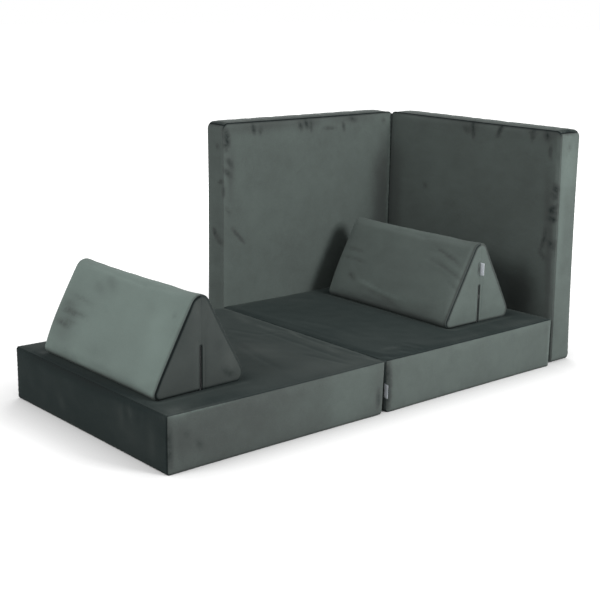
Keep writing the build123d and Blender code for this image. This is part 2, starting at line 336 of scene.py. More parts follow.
def write_lay(piece, lay, lean, crush):
    """Keeps on the cloth how its pile lies.

    lay is by face, and gives its painted sheen and shade; lean is how much soft marks and painted
    shade darken it, and crush how hard it is bruised, with narrow painted shade, both by point.
    """
    stored = piece.data.attributes.new("nap_lay_painted_sheen", "FLOAT", "FACE")
    stored.data.foreach_set("value", np.asarray(lay, np.float32))
    for name, values in (("painted_shade_and_lean", lean), ("pile_crush_and_shade", crush)):
        stored = piece.data.attributes.new(name, "FLOAT", "POINT")
        stored.data.foreach_set("value", np.asarray(values, np.float32))


def box_mm(node):
    low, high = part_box(node)
    return np.array(low) / MM, np.array(high) / MM


# Seams: every edge is a plain sewn seam that sinks between two soft lips
SEAM_FINE = (0, 0.9, 1.8, 2.8, 4.2, 6, 8.5, 12, 17)
SEAM_DEPTH = 1.1
SEAM_WIDTH = 1.3
EDGE_ROUND = 3.5
# the seams stand a little outside the foam that fills them
COVER_EASE = 1.6
EDGE_DRAW = 2.2
EDGE_DRAW_REACH = 32
PUCKER_DEPTH = 0.55
PUCKER_LENGTH = 15
PUCKER_REACH = 16
# painted shade along each seam, as in the groove where it sinks
SEAM_SHADE = 0.12
SEAM_SHADE_HALF = 1.5
# painted shadow: a dark line where a cover turns under at the floor
FOOT_SHADOW_LINE = 0.4
FOOT_SHADOW_LINE_REACH = 4

# how far a resting piece stays clear, and how tightly a bolster's zip turns its corners
REST_GAP = 0.3
ZIP_BEND = 8

# Zips: half-breadths of the slot and of its lips, and the rows of stitches beside it
SLOT_HALF = 3.9
LIP_HALF = 6.0
SLOT_DEPTH = 2.2
STITCH_ROW = 11.5
ZIP_FINE = (0, 1.9, 3.2, 3.7, 4.3, 5.0, 6.2, 7.6, 9.5, 10.8, 11.5, 12.2, 14)


def slot_push(across, along, start, finish):
    """How far cloth sinks beside a zip: a slot, two soft lips and two sewn rows."""
    gap = np.abs(across)
    inside = ease((along - start) / 3 + 0.5) * ease((finish - along) / 3 + 0.5)
    slot = 1 - ease((gap - SLOT_HALF + 0.7) / 1.4)
    lip = np.exp(-(((gap - LIP_HALF) / 1.6) ** 2))
    row = np.exp(-(((gap - STITCH_ROW) / 0.9) ** 2))
    valley = np.exp(-((gap / 10) ** 2))
    return inside * (SLOT_DEPTH * slot - 0.5 * lip + 0.55 * row + 0.3 * valley)


# Creases pressed into the cloth, and marks brushed into its pile, as lines in millimetres
def press(points, creases):
    """How far each point moves outward; a crease is a valley with a low fold on each side."""
    move = np.zeros(len(points))
    for line, width, depth in creases:
        gap, place = near_line(points, line)
        taper = ease(4 * place * (1 - place) * 1.3)
        valley = np.exp(-((gap / width) ** 2))
        fold = np.exp(-(((gap - 1.9 * width) / width) ** 2))
        move += taper * depth * (0.45 * fold - valley)
    return move


# a mark at least this broad is soft; a narrower one has a ragged edge
SOFT_MARK = 14


def brush_and_shade(points, marks):
    """How much the soft marks, the bruises and the painted shade among them darken each point."""
    soft = np.zeros(len(points))
    bruises_and_shade = np.zeros(len(points))
    for line, width, strength in marks:
        gap, place = near_line(points, line)
        taper = 0.35 + 0.65 * ease(4 * place * (1 - place))
        total = soft if width >= SOFT_MARK else bruises_and_shade
        total += strength * taper * np.exp(-((gap / width) ** 2))
    return soft, bruises_and_shade


# Cloth that settles: a coarse net of each cover is blown up a little over its foam by cloth
# simulation, held at its seams and where it rests, and the fine cover takes over its moves
SETTLE_STEP = 15
SETTLE_FRAMES = 20
SETTLE_PRESSURE = 3.0
SETTLE_SLACK = 0.006
SETTLE_LIMIT = 3.0
SETTLE_STIFFNESS = 0.8
# the net starts a little uneven, so that it settles into soft lumps
SETTLE_START = 0.8


def settle_cloth(points, faces, held):
    """Runs the simulation on a net of points in millimetres; gives each point's move."""
    net = bpy.data.meshes.new("settling_net")
    net.from_pydata((points * MM).tolist(), [], [tuple(f) for f in faces])
    cloth_net = bpy.data.objects.new("settling_net", net)
    bpy.context.scene.collection.objects.link(cloth_net)
    group = cloth_net.vertex_groups.new(name="held")
    group.add(np.flatnonzero(held).tolist(), 1.0, "REPLACE")
    cloth = cloth_net.modifiers.new("cloth", "CLOTH")
    cloth.settings.vertex_group_mass = "held"
    cloth.settings.use_pressure = True
    cloth.settings.uniform_pressure_force = SETTLE_PRESSURE
    cloth.settings.shrink_min = -SETTLE_SLACK
    cloth.settings.bending_stiffness = SETTLE_STIFFNESS
    cloth.settings.effector_weights.gravity = 0
    cloth.collision_settings.use_collision = False
    cloth.point_cache.frame_end = SETTLE_FRAMES
    for moment in range(1, SETTLE_FRAMES + 1):
        bpy.context.scene.frame_set(moment)
    settled = cloth_net.evaluated_get(bpy.context.evaluated_depsgraph_get()).data
    places = np.empty(3 * len(points))
    settled.vertices.foreach_get("co", places)
    bpy.data.objects.remove(cloth_net)
    bpy.data.meshes.remove(net)
    bpy.context.scene.frame_set(1)
    return places.reshape(-1, 3) / MM - points


def read_net(moves, step_u, step_v, u, v, closed=False):
    """Reads a net of moves at places between its points, smoothly; closed goes round in v."""
    cell_u = np.floor(u / step_u).astype(int)
    cell_v = np.floor(v / step_v).astype(int)
    total = np.zeros(len(u))
    spans = [
        ((1 - t) ** 3, 3 * t**3 - 6 * t**2 + 4, -3 * t**3 + 3 * t**2 + 3 * t + 1, t**3)
        for t in (u / step_u - cell_u, v / step_v - cell_v)
    ]
    for i, j in itertools.product(range(4), repeat=2):
        row = np.clip(cell_u + i - 1, 0, moves.shape[0] - 1)
        column = cell_v + j - 1
        column = column % moves.shape[1] if closed else np.clip(column, 0, moves.shape[1] - 1)
        total += moves[row, column] * spans[0][i] / 6 * spans[1][j] / 6
    return total


def calm(moves, seam_gap):
    """Caps the moves, and lets them start behind the seam."""
    return SETTLE_LIMIT * np.tanh(moves / SETTLE_LIMIT) * ease(seam_gap / 14)


def pad_moves(flat, size, seam_gap, still, seed):
    """How far each point of a box-shaped cover moves out as its cloth settles.

    still names the panels that rest or hold a zip, in the order of box_grid.
    """
    result = np.zeros(len(flat))
    size = np.array(size, float)
    counts = [round(s / SETTLE_STEP) for s in size]
    steps = size / counts
    net, quads, panels = box_grid([np.linspace(0, s, n + 1) for s, n in zip(size, counts)])
    held = np.sort(np.minimum(net, size - net), axis=1)[:, 1] < 1
    for panel in still:
        axis, end = divmod(panel, 2)
        held |= np.abs(net[:, axis] - end * size[axis]) < 1e-6
    middle = net - size / 2
    start = net + SETTLE_START * unevenness(net, 60, seed)[:, None] * np.sign(middle) * ~held[:, None]
    moves = start + settle_cloth(start, quads, held) - net
    for panel in range(6):
        if panel in still:
            continue
        axis, end = divmod(panel, 2)
        a, b = [(axis + 1) % 3, (axis + 2) % 3]
        on_net = np.flatnonzero(np.abs(net[:, axis] - end * size[axis]) < 1e-6)
        order = np.lexsort((net[on_net, b], net[on_net, a]))
        values = moves[on_net[order], axis].reshape(counts[a] + 1, counts[b] + 1)
        here = (np.abs(flat[:, axis] - end * size[axis]) < 1e-6) & (seam_gap > 0)
        outward = 1 if end else -1
        result[here] = outward * read_net(values, steps[a], steps[b], flat[here, a], flat[here, b])
    return calm(result, seam_gap)


# Box-shaped pieces
def round_off(points, size, axes, low_sides, radius):
    """Rounds one long edge of a box, seen along it; low_sides says which of its four edges."""
    gaps = [
        points[:, axis] if low else size[axis] - points[:, axis]
        for axis, low in zip(axes, low_sides)
    ]
    u, v = [np.clip(1 - gap / radius, 0, 1.6) for gap in gaps]
    inside = (u > 0) & (v > 0)
    scale = np.where(inside, np.maximum(u, v) / np.maximum(np.hypot(u, v), 1e-9), 1)
    for axis, low, gap, share in zip(axes, low_sides, gaps, (u, v)):
        step = np.where(inside, (1 - share * scale) * radius - gap, 0)
        points[:, axis] += step if low else -step


def pad_shape(flat, size, bulge, corners, sewn):
    """Rounds a flat box grid into a sewn, stuffed one; gives its points and outward directions.

    bulge is how far each of the six panels swells, in the order of box_grid.
    """
    radius = EDGE_ROUND
    share = flat / size
    shaped = flat.copy()
    gaps = np.minimum(flat, size - flat)
    for axis in range(3):
        a, b = (axis + 1) % 3, (axis + 2) % 3
        swell = plump(share[:, a], 4) * plump(share[:, b], 4)
        shaped[:, axis] -= np.where(flat[:, axis] <= 1e-6, bulge[2 * axis] * swell, 0)
        on_far = flat[:, axis] >= size[axis] - 1e-6
        shaped[:, axis] += np.where(on_far, bulge[2 * axis + 1] * swell, 0)
    core = np.clip(flat, radius, size - radius)
    outward = flat - core
    outward = outward / np.linalg.norm(outward, axis=1)[:, None]
    rounded = core + radius * outward + (shaped - flat)
    seam_gap = np.sort(gaps, axis=1)[:, 1]
    if sewn:
        # beside a fold the next piece holds the edge out
        beside_fold = ease(flat[:, 0] / 60)
        sink = seam_sink(flat, seam_gap, gaps) * (0.3 + 0.7 * ease(flat[:, 0] / 12))
        rounded -= sink[:, None] * outward
        # the cloth pulls each edge in between its two corners
        inward = np.where(flat < size / 2, 1.0, -1.0)
        for axis in range(3):
            a, b = (axis + 1) % 3, (axis + 2) % 3
            draw = EDGE_DRAW * min(1, size[axis] / 700) * plump(share[:, axis], 2.5)
            draw = draw * np.exp(-(gaps[:, a] + gaps[:, b]) / EDGE_DRAW_REACH) * beside_fold
            for other in (a, b):
                lifts_foot = (other == 2) & (flat[:, 2] < size[2] / 2)
                rounded[:, other] += np.where(lifts_foot, 0, draw * inward[:, other])
    for axes, low_sides, corner_radius in corners:
        round_off(rounded, size, axes, low_sides, corner_radius)
    return rounded, outward, seam_gap


def seam_sink(flat, seam_gap, gaps):
    """A sewn edge: the stitched line sinks, and the cloth beside it puckers unevenly."""
    along = np.take_along_axis(flat, gaps.argmax(axis=1)[:, None], axis=1)[:, 0]
    sink = SEAM_DEPTH * np.exp(-((seam_gap / SEAM_WIDTH) ** 2))
    beat = unevenness(flat, 70, 5)
    ripple = np.sin(2 * math.pi * along / PUCKER_LENGTH + 5 * beat)
    near = np.exp(-(((seam_gap - 6) / PUCKER_REACH) ** 2))
    return sink + PUCKER_DEPTH * ripple * (0.5 + 0.5 * beat) * near


# painted shade along the seams
def seam_shade(seam_gap):
    return SEAM_SHADE * np.exp(-((seam_gap / SEAM_SHADE_HALF) ** 2))


def finish_cover(name, points, outward, faces, lay, shade, looks):
    """Presses the creases in and makes the cover."""
    creases, marks = looks
    points = points + press(points, creases)[:, None] * outward
    # painted shadow along the foot, where the cover meets the floor
    shade = shade + FOOT_SHADOW_LINE * np.exp(-((points[:, 2] / FOOT_SHADOW_LINE_REACH) ** 2))
    cover = add_piece(f"{name}_velvet", points, faces, velvet, name, (f"{name}_cover",))
    soft, bruises_and_shade = brush_and_shade(points, marks)
    write_lay(cover, lay, shade + soft, bruises_and_shade)


def make_core(name, points, faces):
    """The foam inside a cover, which it fills."""
    core = add_piece(f"{name}_foam_core", points, faces, foam, name, (f"{name}_foam",))


# how full the foam makes its cover
FOAM_INSET = 7
PANEL_STEP = 6
CORE_STEP = 25
CORE_FINE = (0, 3, 8)
ZIP_MARGIN = 35


def make_box(name, full, zip_run, bulge, corners, still, lumps, seed, set_down, shading, looks):
    """Makes a box-shaped cover and the foam in it.

    zip_run is the zip's panel, the axis across it and its place there, the axis along it, its two
    ends, and what share of its ease the cloth there has. still names the panels that rest. lumps
    are amounts, sizes and seeds. set_down moves points to where they stand in the set, and
    gives the axes there. shading paints shade onto the cover by place.
    """
    panel, across, middle, along, ends, zip_ease = zip_run
    lays, *looks = looks
    for inset in (0, FOAM_INSET):
        size = np.array(full, float) - 2 * inset
        lines = [graded(0, s, CORE_STEP, CORE_FINE) for s in size]
        if inset == 0:
            lines = [graded(0, s, PANEL_STEP, SEAM_FINE) for s in size]
            lines[across] = graded(0, size[across], PANEL_STEP, SEAM_FINE, (middle,), ZIP_FINE)
        flat, quads, panels = box_grid(lines)
        points, outward, seam_gap = pad_shape(flat, size, bulge, corners, inset == 0)
        if inset == 0:
            moves = pad_moves(flat, size, seam_gap, still, seed)
            on_zip = np.abs(flat[:, panel // 2] - panel % 2 * size[panel // 2]) < 1e-6
            slot = np.where(on_zip, slot_push(flat[:, across] - middle, flat[:, along], *ends), 0)
            wander = sum(amount * unevenness(flat, *lump) for amount, *lump in lumps)
            wander = np.where((flat[:, 2] <= 1e-6) | on_zip, 0, wander)
            # the cover stands out a little, but not beside the fold
            eased = COVER_EASE * ease(flat[:, 0] / 25) * np.where(on_zip, zip_ease, 1)
            moves += ease((seam_gap - 4) / 40) * wander + eased - slot
            points += moves[:, None] * outward
        world, axes = set_down(points + inset, inset)
        outward = outward @ axes
        if np.linalg.det(axes) < 0:
            quads = quads[:, ::-1]
        if inset == 0:
            shade = seam_shade(seam_gap) + shading(world, size[2] - flat[:, 2], seam_gap)
            lay = np.array(lays)[panels]
            finish_cover(name, world, outward, quads, lay, shade, looks)
        else:
            make_core(name, world, quads)


# Seat blocks
SEAT_HEIGHT = 153.0
SEAT_DRAW_IN = 5
SEAT_SIDE_BULGE = 3
SEAT_CROWN = 3
SEAT_ZIP_HEIGHT = 30
# the slot runs a little past both ends of the zip
SLOT_SPARE = 5
# rounded long edges: the axes across each, whether it is at their low ends, and its radius
SEAT_CORNERS = (
    ((0, 2), (True, True), 12),
    ((0, 2), (False, True), 8),
    ((0, 2), (False, False), 5),
    ((0, 1), (True, False), 7),
    ((0, 1), (False, True), 5),
    ((0, 1), (False, False), 3),
)
# the bolsters press shallow beds into the seats
BED_DEPTH = 5.0
BED_REACH = 40
BED_MARGIN = 18


def bed_share(x, y):
    """1 where a bolster lies on the seat, easing to 0 round it."""
    share = np.zeros(np.shape(x))
    for node in ("bolster_left_cover", "bolster_right_cover"):
        low, high = box_mm(node)
        past_x = np.maximum(np.maximum(low[0] + BED_MARGIN - x, x - high[0] + BED_MARGIN), 0)
        past_y = np.maximum(np.maximum(low[1] - y, y - high[1]), 0)
        share = np.maximum(share, 1 - ease(np.hypot(past_x, past_y) / BED_REACH))
    return share


def seat_top(x, y):
    """Height of the seat's crowned top at a place, in millimetres."""
    height = np.full(np.shape(x), SEAT_HEIGHT)
    for node in ("seat_left_cover", "seat_right_cover"):
        low, high = box_mm(node)
        share_x = (x - low[0]) / (high[0] - low[0])
        share_y = (y - low[1]) / (high[1] - low[1])
        crown = SEAT_CROWN * plump(share_x, 4) * plump(share_y, 4)
        on = (share_x > 0) & (share_x < 1)
        height = np.where(on, SEAT_HEIGHT + COVER_EASE + crown, height)
    return height - BED_DEPTH * bed_share(x, y)


# painted shade on the seat round the outline of a bolster
BED_SHADE = 0.09
BED_SHADE_REACH = 34


def bed_shade(points, *unused):
    """Paints shade onto the top of a seat round the two bolsters."""
    shade = np.zeros(len(points))
    for name in BOLSTER_TURNS:
        origin, axes = bolster_frame(name)
        local = (points - origin) @ axes.T
        past_x = np.abs(local[:, 0]) - BOLSTER_BASE / 2 + 7
        past_y = np.maximum(-local[:, 1], local[:, 1] - BOLSTER_LENGTH)
        outside = np.hypot(np.maximum(past_x, 0), np.maximum(past_y, 0))
        gap = outside - np.minimum(np.maximum(past_x, past_y), 0)
        shade += BED_SHADE * np.exp(-((gap / BED_SHADE_REACH) ** 2))
    return shade * ease((points[:, 2] - 130) / 10)


def make_seat(name, mirrored, fold_corner_round, spread, *looks):
    """fold_corner_round is for the front corner beside the fold; spread widens the free side."""
    low, high = box_mm(f"{name}_cover")
    full = (high[0] - low[0] - SEAT_SIDE_BULGE, high[1] - low[1], SEAT_HEIGHT)
    ends = (ZIP_MARGIN - SLOT_SPARE, full[0] - ZIP_MARGIN + SEAT_SIDE_BULGE + SLOT_SPARE)
    # local axes run from the fold to the free side, from front to rear and up
    origin = np.array((high[0] if mirrored else low[0], low[1], 0))
    axes = np.diag((-1.0 if mirrored else 1.0, 1, 1))

    def set_down(points, inset):
        points[:, 0] += spread * ease(points[:, 0] / full[0] * 2.5 - 1.5)
        # the fold side leans in towards the foot
        lean = SEAT_DRAW_IN * (1 - points[:, 2] / SEAT_HEIGHT)
        points[:, 0] += lean * np.clip(1 - points[:, 0] / 120, 0, 1)
        points[:, 2] = np.maximum(points[:, 2], inset)
        world = origin + points @ axes
        bed = BED_DEPTH * bed_share(world[:, 0], world[:, 1])
        world[:, 2] -= bed * ease((world[:, 2] - SEAT_HEIGHT / 2) / (SEAT_HEIGHT / 2 - 5))
        return world, axes

    # the zip lies low in the rear panel; the fold side, that panel and the foot stay as they are
    make_box(
        name,
        full,
        (3, 2, SEAT_ZIP_HEIGHT, 0, ends, 0.4),
        (0, SEAT_SIDE_BULGE, 1.5, 0, 0, SEAT_CROWN),
        SEAT_CORNERS + (((0, 1), (True, True), fold_corner_round),),
        (0, 3, 4),
        ((0.7, 95, 11), (0.5, 38, 12)),
        13,
        set_down,
        bed_shade,
        looks,
    )


# Wall panels
WALL_HEIGHT = 742.0
WALL_THICKNESS = 80
WALL_BULGE = 3
WALL_INNER_BULGE = 1
WALL_SPARE = 0.8
WALL_TOP_BULGE = 2.2
# painted shade in the seams round the top
WALL_TOP_SHADE = 0.55
WALL_TOP_SHADE_HALF = 2.8
WALL_TOP_SHADE_REACH = 14
WALL_CORNERS = (
    ((0, 2), (True, True), 16),
    ((0, 2), (True, False), 12),
    ((0, 2), (False, True), 16),
    ((0, 2), (False, False), 22),
)


def top_shade(points, below_top, seam_gap):
    """Paints shade into the seams round the top of a wall panel."""
    at_top = np.exp(-((below_top / WALL_TOP_SHADE_REACH) ** 2))
    return at_top * WALL_TOP_SHADE * np.exp(-((seam_gap / WALL_TOP_SHADE_HALF) ** 2))


def make_wall(name, length, origin, axes, splay, *looks):
    """Local axes run from the fold to the far edge, from the inner face outwards, and up.

    splay is how far the far edge leans out: at the inner face's top and foot, and at the outer's.
    """
    axes = np.array(axes, float)

    def set_down(points, inset):
        # the inner face stays clear of the seat that swings past it
        over = np.maximum(-WALL_BULGE - points[:, 1], 0)
        points[:, 1] += over - WALL_SPARE * np.tanh(over / WALL_SPARE)
        # a panel may lean out at its foot, towards its far edge
        low_share = np.clip(1 - points[:, 2] / WALL_HEIGHT, 0, 1)
        outer_share = points[:, 1] / WALL_THICKNESS
        top_lean = splay[0] + (splay[2] - splay[0]) * outer_share
        foot_lean = splay[1] + (splay[3] - splay[1]) * outer_share
        lean = top_lean + (foot_lean - top_lean) * low_share
        points[:, 1] += lean * np.clip(points[:, 0] / length, 0, 1) ** 1.5
        points[:, 2] = np.maximum(points[:, 2], inset)
        return np.array(origin) + points @ axes, axes

    # the zip runs up the narrow edge beside the fold, which stays as it is, and so does the foot
    make_box(
        name,
        (length, WALL_THICKNESS, WALL_HEIGHT),
        (0, 1, WALL_THICKNESS / 2, 2, (ZIP_MARGIN, WALL_HEIGHT - ZIP_MARGIN), 1),
        (0, 0.8, WALL_INNER_BULGE, WALL_BULGE, 0, WALL_TOP_BULGE),
        WALL_CORNERS,
        (0, 4),
        ((0.8, 120, 21), (0.4, 45, 22)),
        23,
        set_down,
        top_shade,
        looks,
    )


# Bolsters: one cloth wrapped round a rounded triangle, with an end panel sewn in at each end
# how far each bolster is turned on the seat, in degrees
BOLSTER_TURNS = {"bolster_left": 1.0, "bolster_right": -0.4}
BOLSTER_LENGTH = 540
BOLSTER_BASE = 314
BOLSTER_HEIGHT = 282
BOLSTER_TOP_ROUND = 31
# the wrap pulls the left foot tight; the right one, where it is joined, is softer
LEFT_FOOT_ROUND = 17
RIGHT_FOOT_ROUND = 25
FOOT_BACK = 9
FRONT_IN = 4
ARC_STEPS = (7, 12)
BOLSTER_SLOPE = math.atan2(BOLSTER_HEIGHT, BOLSTER_BASE / 2)
BOLSTER_BULGE = 3
BOLSTER_ZIP_HEIGHT = 118
BOLSTER_EDGE_ROUND = 2.5
BOLSTER_STEP = 5.5
BOLSTER_CORE_STEP = 24
# the slot of the zip runs on round both lower edges
SLOT_PAST_EDGE = 20
# the end panels fill out, apart from a hollow along the zip and the seam over it
END_BULGE = 2.2
END_BULGE_REACH = 45
HOLLOW_DEPTH = 2.2
HOLLOW_HALF = 16
END_SEAM_DEPTH = 2.4
END_SEAM_PLACE = 3.4
END_SEAM_WIDTH = 3.2
# painted shade in the valley of the end seam
END_SEAM_SHADE = 0.7
# painted shade on the wrap's foot, where it rests on the seat
FOOT_SHADE = 0.4
FOOT_SHADE_REACH = 13
# painted shadow: a dark line where a bolster meets the seat
CONTACT_SHADOW_LINE = 0.5
CONTACT_SHADOW_LINE_REACH = 6
# painted shade on the wrap just before it turns in to the front end, where its rim would catch the
# light
RIM_SHADE = 0.22
RIM_SHADE_REACH = 5
# painted shade in the slot of the zip up each end panel
ZIP_SHADE = 0.85
ZIP_SHADE_HALF = 4.4


def bolster_frame(name):
    """A bolster's origin, and its own axes: across, along from its front end and up."""
    low, high = box_mm(f"{name}_cover")
    angle = math.radians(BOLSTER_TURNS[name])
    along = (-math.sin(angle), math.cos(angle), 0)
    axes = np.array(((along[1], -along[0], 0), along, (0, 0, 1)))
    middle = (low + high) / 2
    return np.array((middle[0], middle[1], low[2])) - axes[1] * BOLSTER_LENGTH / 2, axes


def settle_base(points, foot_z):
    """Moves the lowest part of a bolster to lie on the crown of the seat."""
    share = 1 - ease((points[:, 2] - foot_z) / 60)
    lift = share * (seat_top(points[:, 0], points[:, 1]) + REST_GAP - foot_z)
    return points + lift[:, None] * (0, 0, 1)


def ring_faces(rings, count):
    """The faces between rings of points that follow each other."""
    sides = [(n, (n + 1) % count) for n in range(count)]
    starts = [i * count for i in range(rings - 1)]
    return [(s + n, s + m, s + count + m, s + count + n) for s in starts for n, m in sides]


def wrap_moves(stations, outline, normals):
    """How far each point of a bolster's wrap moves out as its cloth settles over the foam."""
    outline, normals = [np.concatenate((values, values[:1])) for values in (outline, normals)]
    runs = np.linalg.norm(np.diff(outline, axis=0), axis=1)
    around = np.concatenate(((0,), np.cumsum(runs)))
    count = round(around[-1] / SETTLE_STEP)
    at = np.arange(count) * around[-1] / count
    x, z, out_x, out_z = [np.interp(at, around, v) for v in (*outline.T, *normals.T)]
    rows = round(BOLSTER_LENGTH / SETTLE_STEP)
    y = np.repeat(np.linspace(0, BOLSTER_LENGTH, rows + 1), count)
    net = np.stack((np.tile(x, rows + 1), y, np.tile(z, rows + 1)), axis=1)
    out = np.tile(np.stack((out_x, np.zeros(count), out_z), axis=1), (rows + 1, 1))
    held = (y < 1) | (y > BOLSTER_LENGTH - 1) | (net[:, 2] < 3)
    start = net + (SETTLE_START * unevenness(net, 50, 34) * ~held)[:, None] * out
    moves = start + settle_cloth(start, ring_faces(rows + 1, count), held) - net
    moves = np.einsum("ij,ij->i", moves, out).reshape(rows + 1, count)
    steps = (BOLSTER_LENGTH / rows, around[-1] / count)
    places = (np.repeat(stations, len(runs)), np.tile(around[:-1], len(stations)))
    return read_net(moves, *steps, *places, closed=True)


def bolster_side(step, foot_round):
    """One side of the rounded triangle, from the ridge down to the base, with its normals."""
    ridge_z = BOLSTER_HEIGHT - BOLSTER_TOP_ROUND / math.cos(BOLSTER_SLOPE)
    foot_x = BOLSTER_BASE / 2 - foot_round / math.tan(BOLSTER_SLOPE / 2)
    slope_normal = math.pi / 2 - BOLSTER_SLOPE
    runs = (
        (0, ridge_z, BOLSTER_TOP_ROUND, math.pi / 2, slope_normal),
        (foot_x, foot_round, foot_round, slope_normal, -math.pi / 2),
    )
    arcs = []
    for (x, z, radius, first, last), count in zip(runs, ARC_STEPS):
        turns = np.linspace(first, last, count + 1)
        normals = np.stack((np.cos(turns), np.sin(turns)), axis=1)
        arcs.append((np.array((x, z)) + radius * normals, normals))
    (top, top_normals), (foot, foot_normals) = arcs
    # both sides have as many points, whatever their foot
    shares = np.linspace(0, 1, round(BOLSTER_HEIGHT * 0.7 / step) + 1)[1:-1, None]
    straight = top[-1] + shares * (foot[0] - top[-1])
    between = np.repeat(top_normals[-1:], len(straight), 0)
    along = np.concatenate((np.zeros(len(top)), shares[:, 0], np.ones(len(foot))))
    normals = np.concatenate((top_normals, between, foot_normals))
    return np.concatenate((top, straight, foot)), normals, along


def row_places(half):
    """Places across an end panel: fine beside the zip and beside the seams."""
    middle = np.array(ZIP_FINE[1:], float)
    edge = np.array(SEAM_FINE[::-1], float)
    shrink = min(1.0, half / (middle[-1] + edge[0] + 20))
    middle = middle * shrink
    edge = half - edge * shrink
    between = np.linspace(middle[-1], edge[0], 16)[1:-1]
    positive = np.concatenate((middle, between, edge))
    return np.concatenate((-positive[::-1], (0,), positive))


def bolster_outline(step):
    """The grid of an end panel, and the line round it: keys, normals and places on the slopes."""
    right, right_normals, along = bolster_side(step, RIGHT_FOOT_ROUND)
    left, left_normals, along = bolster_side(step, LEFT_FOOT_ROUND)
    grid = []
    for (right_x, right_z), (left_x, left_z) in zip(right, left):
        right_row = row_places(max(right_x, 0))
        left_row = row_places(max(left_x, 0))
        middle = len(right_row) // 2
        x = np.concatenate((left_row[:middle], right_row[middle:]))
        share = np.abs(x) / np.where(x < 0, max(left_x, 1), max(right_x, 1))
        middle_z = (right_z + left_z) / 2
        z = middle_z + share * (np.where(x < 0, left_z, right_z) - middle_z)
        grid.append(np.stack((x, z), axis=1))
    rows, columns = len(grid), len(grid[0])
    # the line goes down the right side, back along the base and up the left side
    keys = [(k, columns - 1) for k in range(rows)]
    keys += [(rows - 1, c) for c in range(columns - 2, 0, -1)]
    keys += [(k, 0) for k in range(rows - 1, 0, -1)]
    base = np.tile((0.0, -1.0), (columns - 2, 1))
    normals = np.concatenate((right_normals, base, (left_normals * (-1, 1))[:0:-1]))
    along = np.concatenate((along, np.zeros(columns - 2), along[:0:-1]))
    return np.array(grid), keys, normals, along


def make_wrap(stations, outline, normals, along):
    """The wrap as one ring of points at each station, rounded in at both ends."""
    radius = BOLSTER_EDGE_ROUND
    place = stations[:, None]
    end_gap = np.minimum(place, BOLSTER_LENGTH - place)
    end = np.where(place < BOLSTER_LENGTH / 2, -1, 1)
    lean = np.maximum(0, radius - end_gap)
    reach = np.hypot(radius, lean)
    full = 0.35 + 0.65 * plump(place / BOLSTER_LENGTH, 4)
    grow = radius * (radius / reach - 1) + BOLSTER_BULGE * plump(along, 3) * full
    y = np.clip(place, radius, BOLSTER_LENGTH - radius) + end * radius * lean / reach
    x, z = outline.T
    out_x, out_z = normals.T
    ring = np.broadcast_arrays(x + grow * out_x, y, z + grow * out_z)
    out = np.broadcast_arrays(out_x * radius / reach, end * lean / reach, out_z * radius / reach)
    points, outward = [np.stack(values, axis=-1).reshape(-1, 3) for values in (ring, out)]
    return points, outward, np.repeat(end_gap[:, 0], len(outline))


def make_end(grid, outline, normals, is_cover):
    """An end panel's inner points: their places, depths behind the end, leans and seam gaps."""
    radius = BOLSTER_EDGE_ROUND
    inner = grid[1:-1, 1:-1].reshape(-1, 2)
    nearest = np.linalg.norm(inner[:, None] - outline[None], axis=2).argmin(axis=1)
    out = normals[nearest]
    seam_gap = np.maximum(np.einsum("ij,ij->i", outline[nearest] - inner, out), 0)
    lean = np.maximum(0, radius - seam_gap)
    reach = np.hypot(radius, lean)
    full = ease(seam_gap / END_BULGE_REACH)
    depth = radius - radius * radius / reach - END_BULGE * full
    if is_cover:
        x, z = inner.T
        seam_row = np.exp(-((x / 1.3) ** 2)) * ease((z - BOLSTER_ZIP_HEIGHT) / 6)
        hollow = HOLLOW_DEPTH * np.exp(-((x / HOLLOW_HALF) ** 2)) * full
        depth += slot_push(x, z, -SLOT_PAST_EDGE, BOLSTER_ZIP_HEIGHT) + 0.8 * seam_row + hollow
    places = inner + out * (radius * lean / reach - lean)[:, None]
    tilt = np.stack((out[:, 0] * lean / reach, radius / reach, out[:, 1] * lean / reach), axis=1)
    return places, depth, tilt, seam_gap


